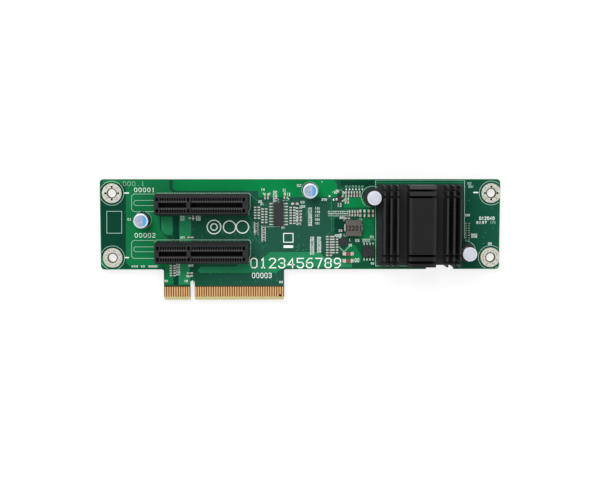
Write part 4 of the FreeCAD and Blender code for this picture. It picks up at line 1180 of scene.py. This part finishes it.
def finishes():
    """Materials for the CAD nodes that stay as they are."""
    for node, material in (
            ("circuit_board", board), ("edge_contacts_front", gold), ("edge_contacts_back", gold),
            ("slot_1_housing", nylon), ("slot_2_housing", nylon),
            ("slot_1_contacts", contact_metal), ("slot_2_contacts", contact_metal),
            ("switch_chip_substrate", laminate), ("switch_chip_cap", chip_black),
            ("thermal_pad", pad_gel), ("capacitor_left_leads", tin), ("capacitor_right_leads", tin),
            ("clock_chip_leads", lead_plate), ("memory_chip_leads", lead_dark), ("transistor_leads", tin),
            ("inductor_terminals", tin)):
        dress(node, material)


# ---------------------------------------------------------------- studio

SKY = 0.55           # strength of the even light
FLOOR_REACH = 3.0    # metres each way
FLOOR_PAINT = 0.93
FLOOR_GLOW = 0.75    # share of plain white in it, so that the shadow under the board stays pale


def floor():
    """A plain pale floor. It is seen from above only, so that the underside can be looked at too."""
    mesh = bpy.data.meshes.new("studio_floor")
    corners = [(x * FLOOR_REACH, y * FLOOR_REACH, 0) for x, y in ((-1, -1), (1, -1), (1, 1), (-1, 1))]
    mesh.from_pydata(corners, [], [(0, 1, 2, 3)])
    nodes = Nodes("studio_floor")
    first, last = [(level, level, level, 1) for level in (FLOOR_PAINT, FLOOR_PAINT + 0.02)]
    nodes.finish(nodes.ramp(nodes.noise(3.0), (0.0, first), (1.0, last)), 0.9, specular=0.0)
    rays = nodes.node("LightPath").outputs
    seen = nodes.math("MAXIMUM", rays["Is Camera Ray"], rays["Is Glossy Ray"])
    seen = nodes.math("MAXIMUM", seen, rays["Is Transmission Ray"])
    from_above = nodes.math("SUBTRACT", 1.0, nodes.node("NewGeometry").outputs["Backfacing"])
    glow = nodes.node("Emission", Strength=1.0).outputs[0]
    clear = nodes.node("BsdfTransparent").outputs[0]
    paint = nodes.mix_shaders(FLOOR_GLOW, nodes.shader.outputs[0], glow)
    paint = nodes.mix_shaders(nodes.math("MULTIPLY", seen, from_above), clear, paint)
    nodes.feed(nodes.tree.nodes["Material Output"].inputs["Surface"], paint)
    mesh.materials.append(nodes.material)
    add_object("studio_floor", mesh)


def area_light(name, place, size, power):
    """A square lamp aimed at the part."""
    lamp = bpy.data.lights.new(name, "AREA")
    lamp.shape, lamp.size, lamp.energy = "SQUARE", size, power
    rig = add_object(name, lamp)
    rig.location = place
    rig.rotation_euler = (-Vector(place)).to_track_quat("-Z", "Y").to_euler()


def studio():
    """Even white light from every side, over the floor."""
    floor()
    world = bpy.data.worlds.new("studio_world")
    bpy.context.scene.world = world
    world.use_nodes = True
    sky = world.node_tree.nodes["Background"]
    sky.inputs["Color"].default_value = (1.0, 1.0, 1.0, 1.0)
    sky.inputs["Strength"].default_value = SKY
    area_light("key", (-0.25, 0.45, 0.85), 0.5, 6.5)
    area_light("fill", (0.5, -0.3, 0.7), 0.6, 2.0)


# The camera, in metres: where it stands over the board's face, and where on that face it looks.
EYE = (-0.00706, 0.03818, TOP * MM + 0.4621)
AIM = (-0.00022, -0.00012, TOP * MM)
FOCAL_LENGTH = 65.28    # millimetres, on a sensor 36 wide


def camera():
    """The product view: from almost straight above, a little from behind and the left."""
    lens = bpy.data.cameras.new("camera")
    lens.lens, lens.sensor_width = FOCAL_LENGTH, 36.0
    lens.clip_start = 0.01
    eye = add_object("camera", lens)
    eye.location = EYE
    target = Vector(AIM)
    ahead = (target - eye.location).normalized()
    right = ahead.cross(Vector((0, 1, 0))).normalized()
    eye.rotation_euler = Matrix((right, right.cross(ahead), -ahead)).transposed().to_euler()
    bpy.context.scene.camera = eye


copper_pours()
print_marks()
screw_rings()
cans()
push_pins()
soften("heatsink", anodised, 0.12)
chip_pieces("small_capacitors", "capacitor_ceramic", ceramic, 0.26, 0.85)
chip_pieces("small_resistors", "resistor_black", glaze, 0.26, 0.85)
chip_pieces("medium_capacitors", "capacitor_ceramic", ceramic_dark, 0.24, 0.85)
chip_pieces("large_capacitors", "capacitor_ceramic", ceramic_dark, 0.2, 0.9)
chip_bodies()
lead_solder()
bare_pads()
slot_details()
back_face()
vias()
finishes()
studio()
camera()
bpy.context.scene.view_settings.view_transform = "Standard"
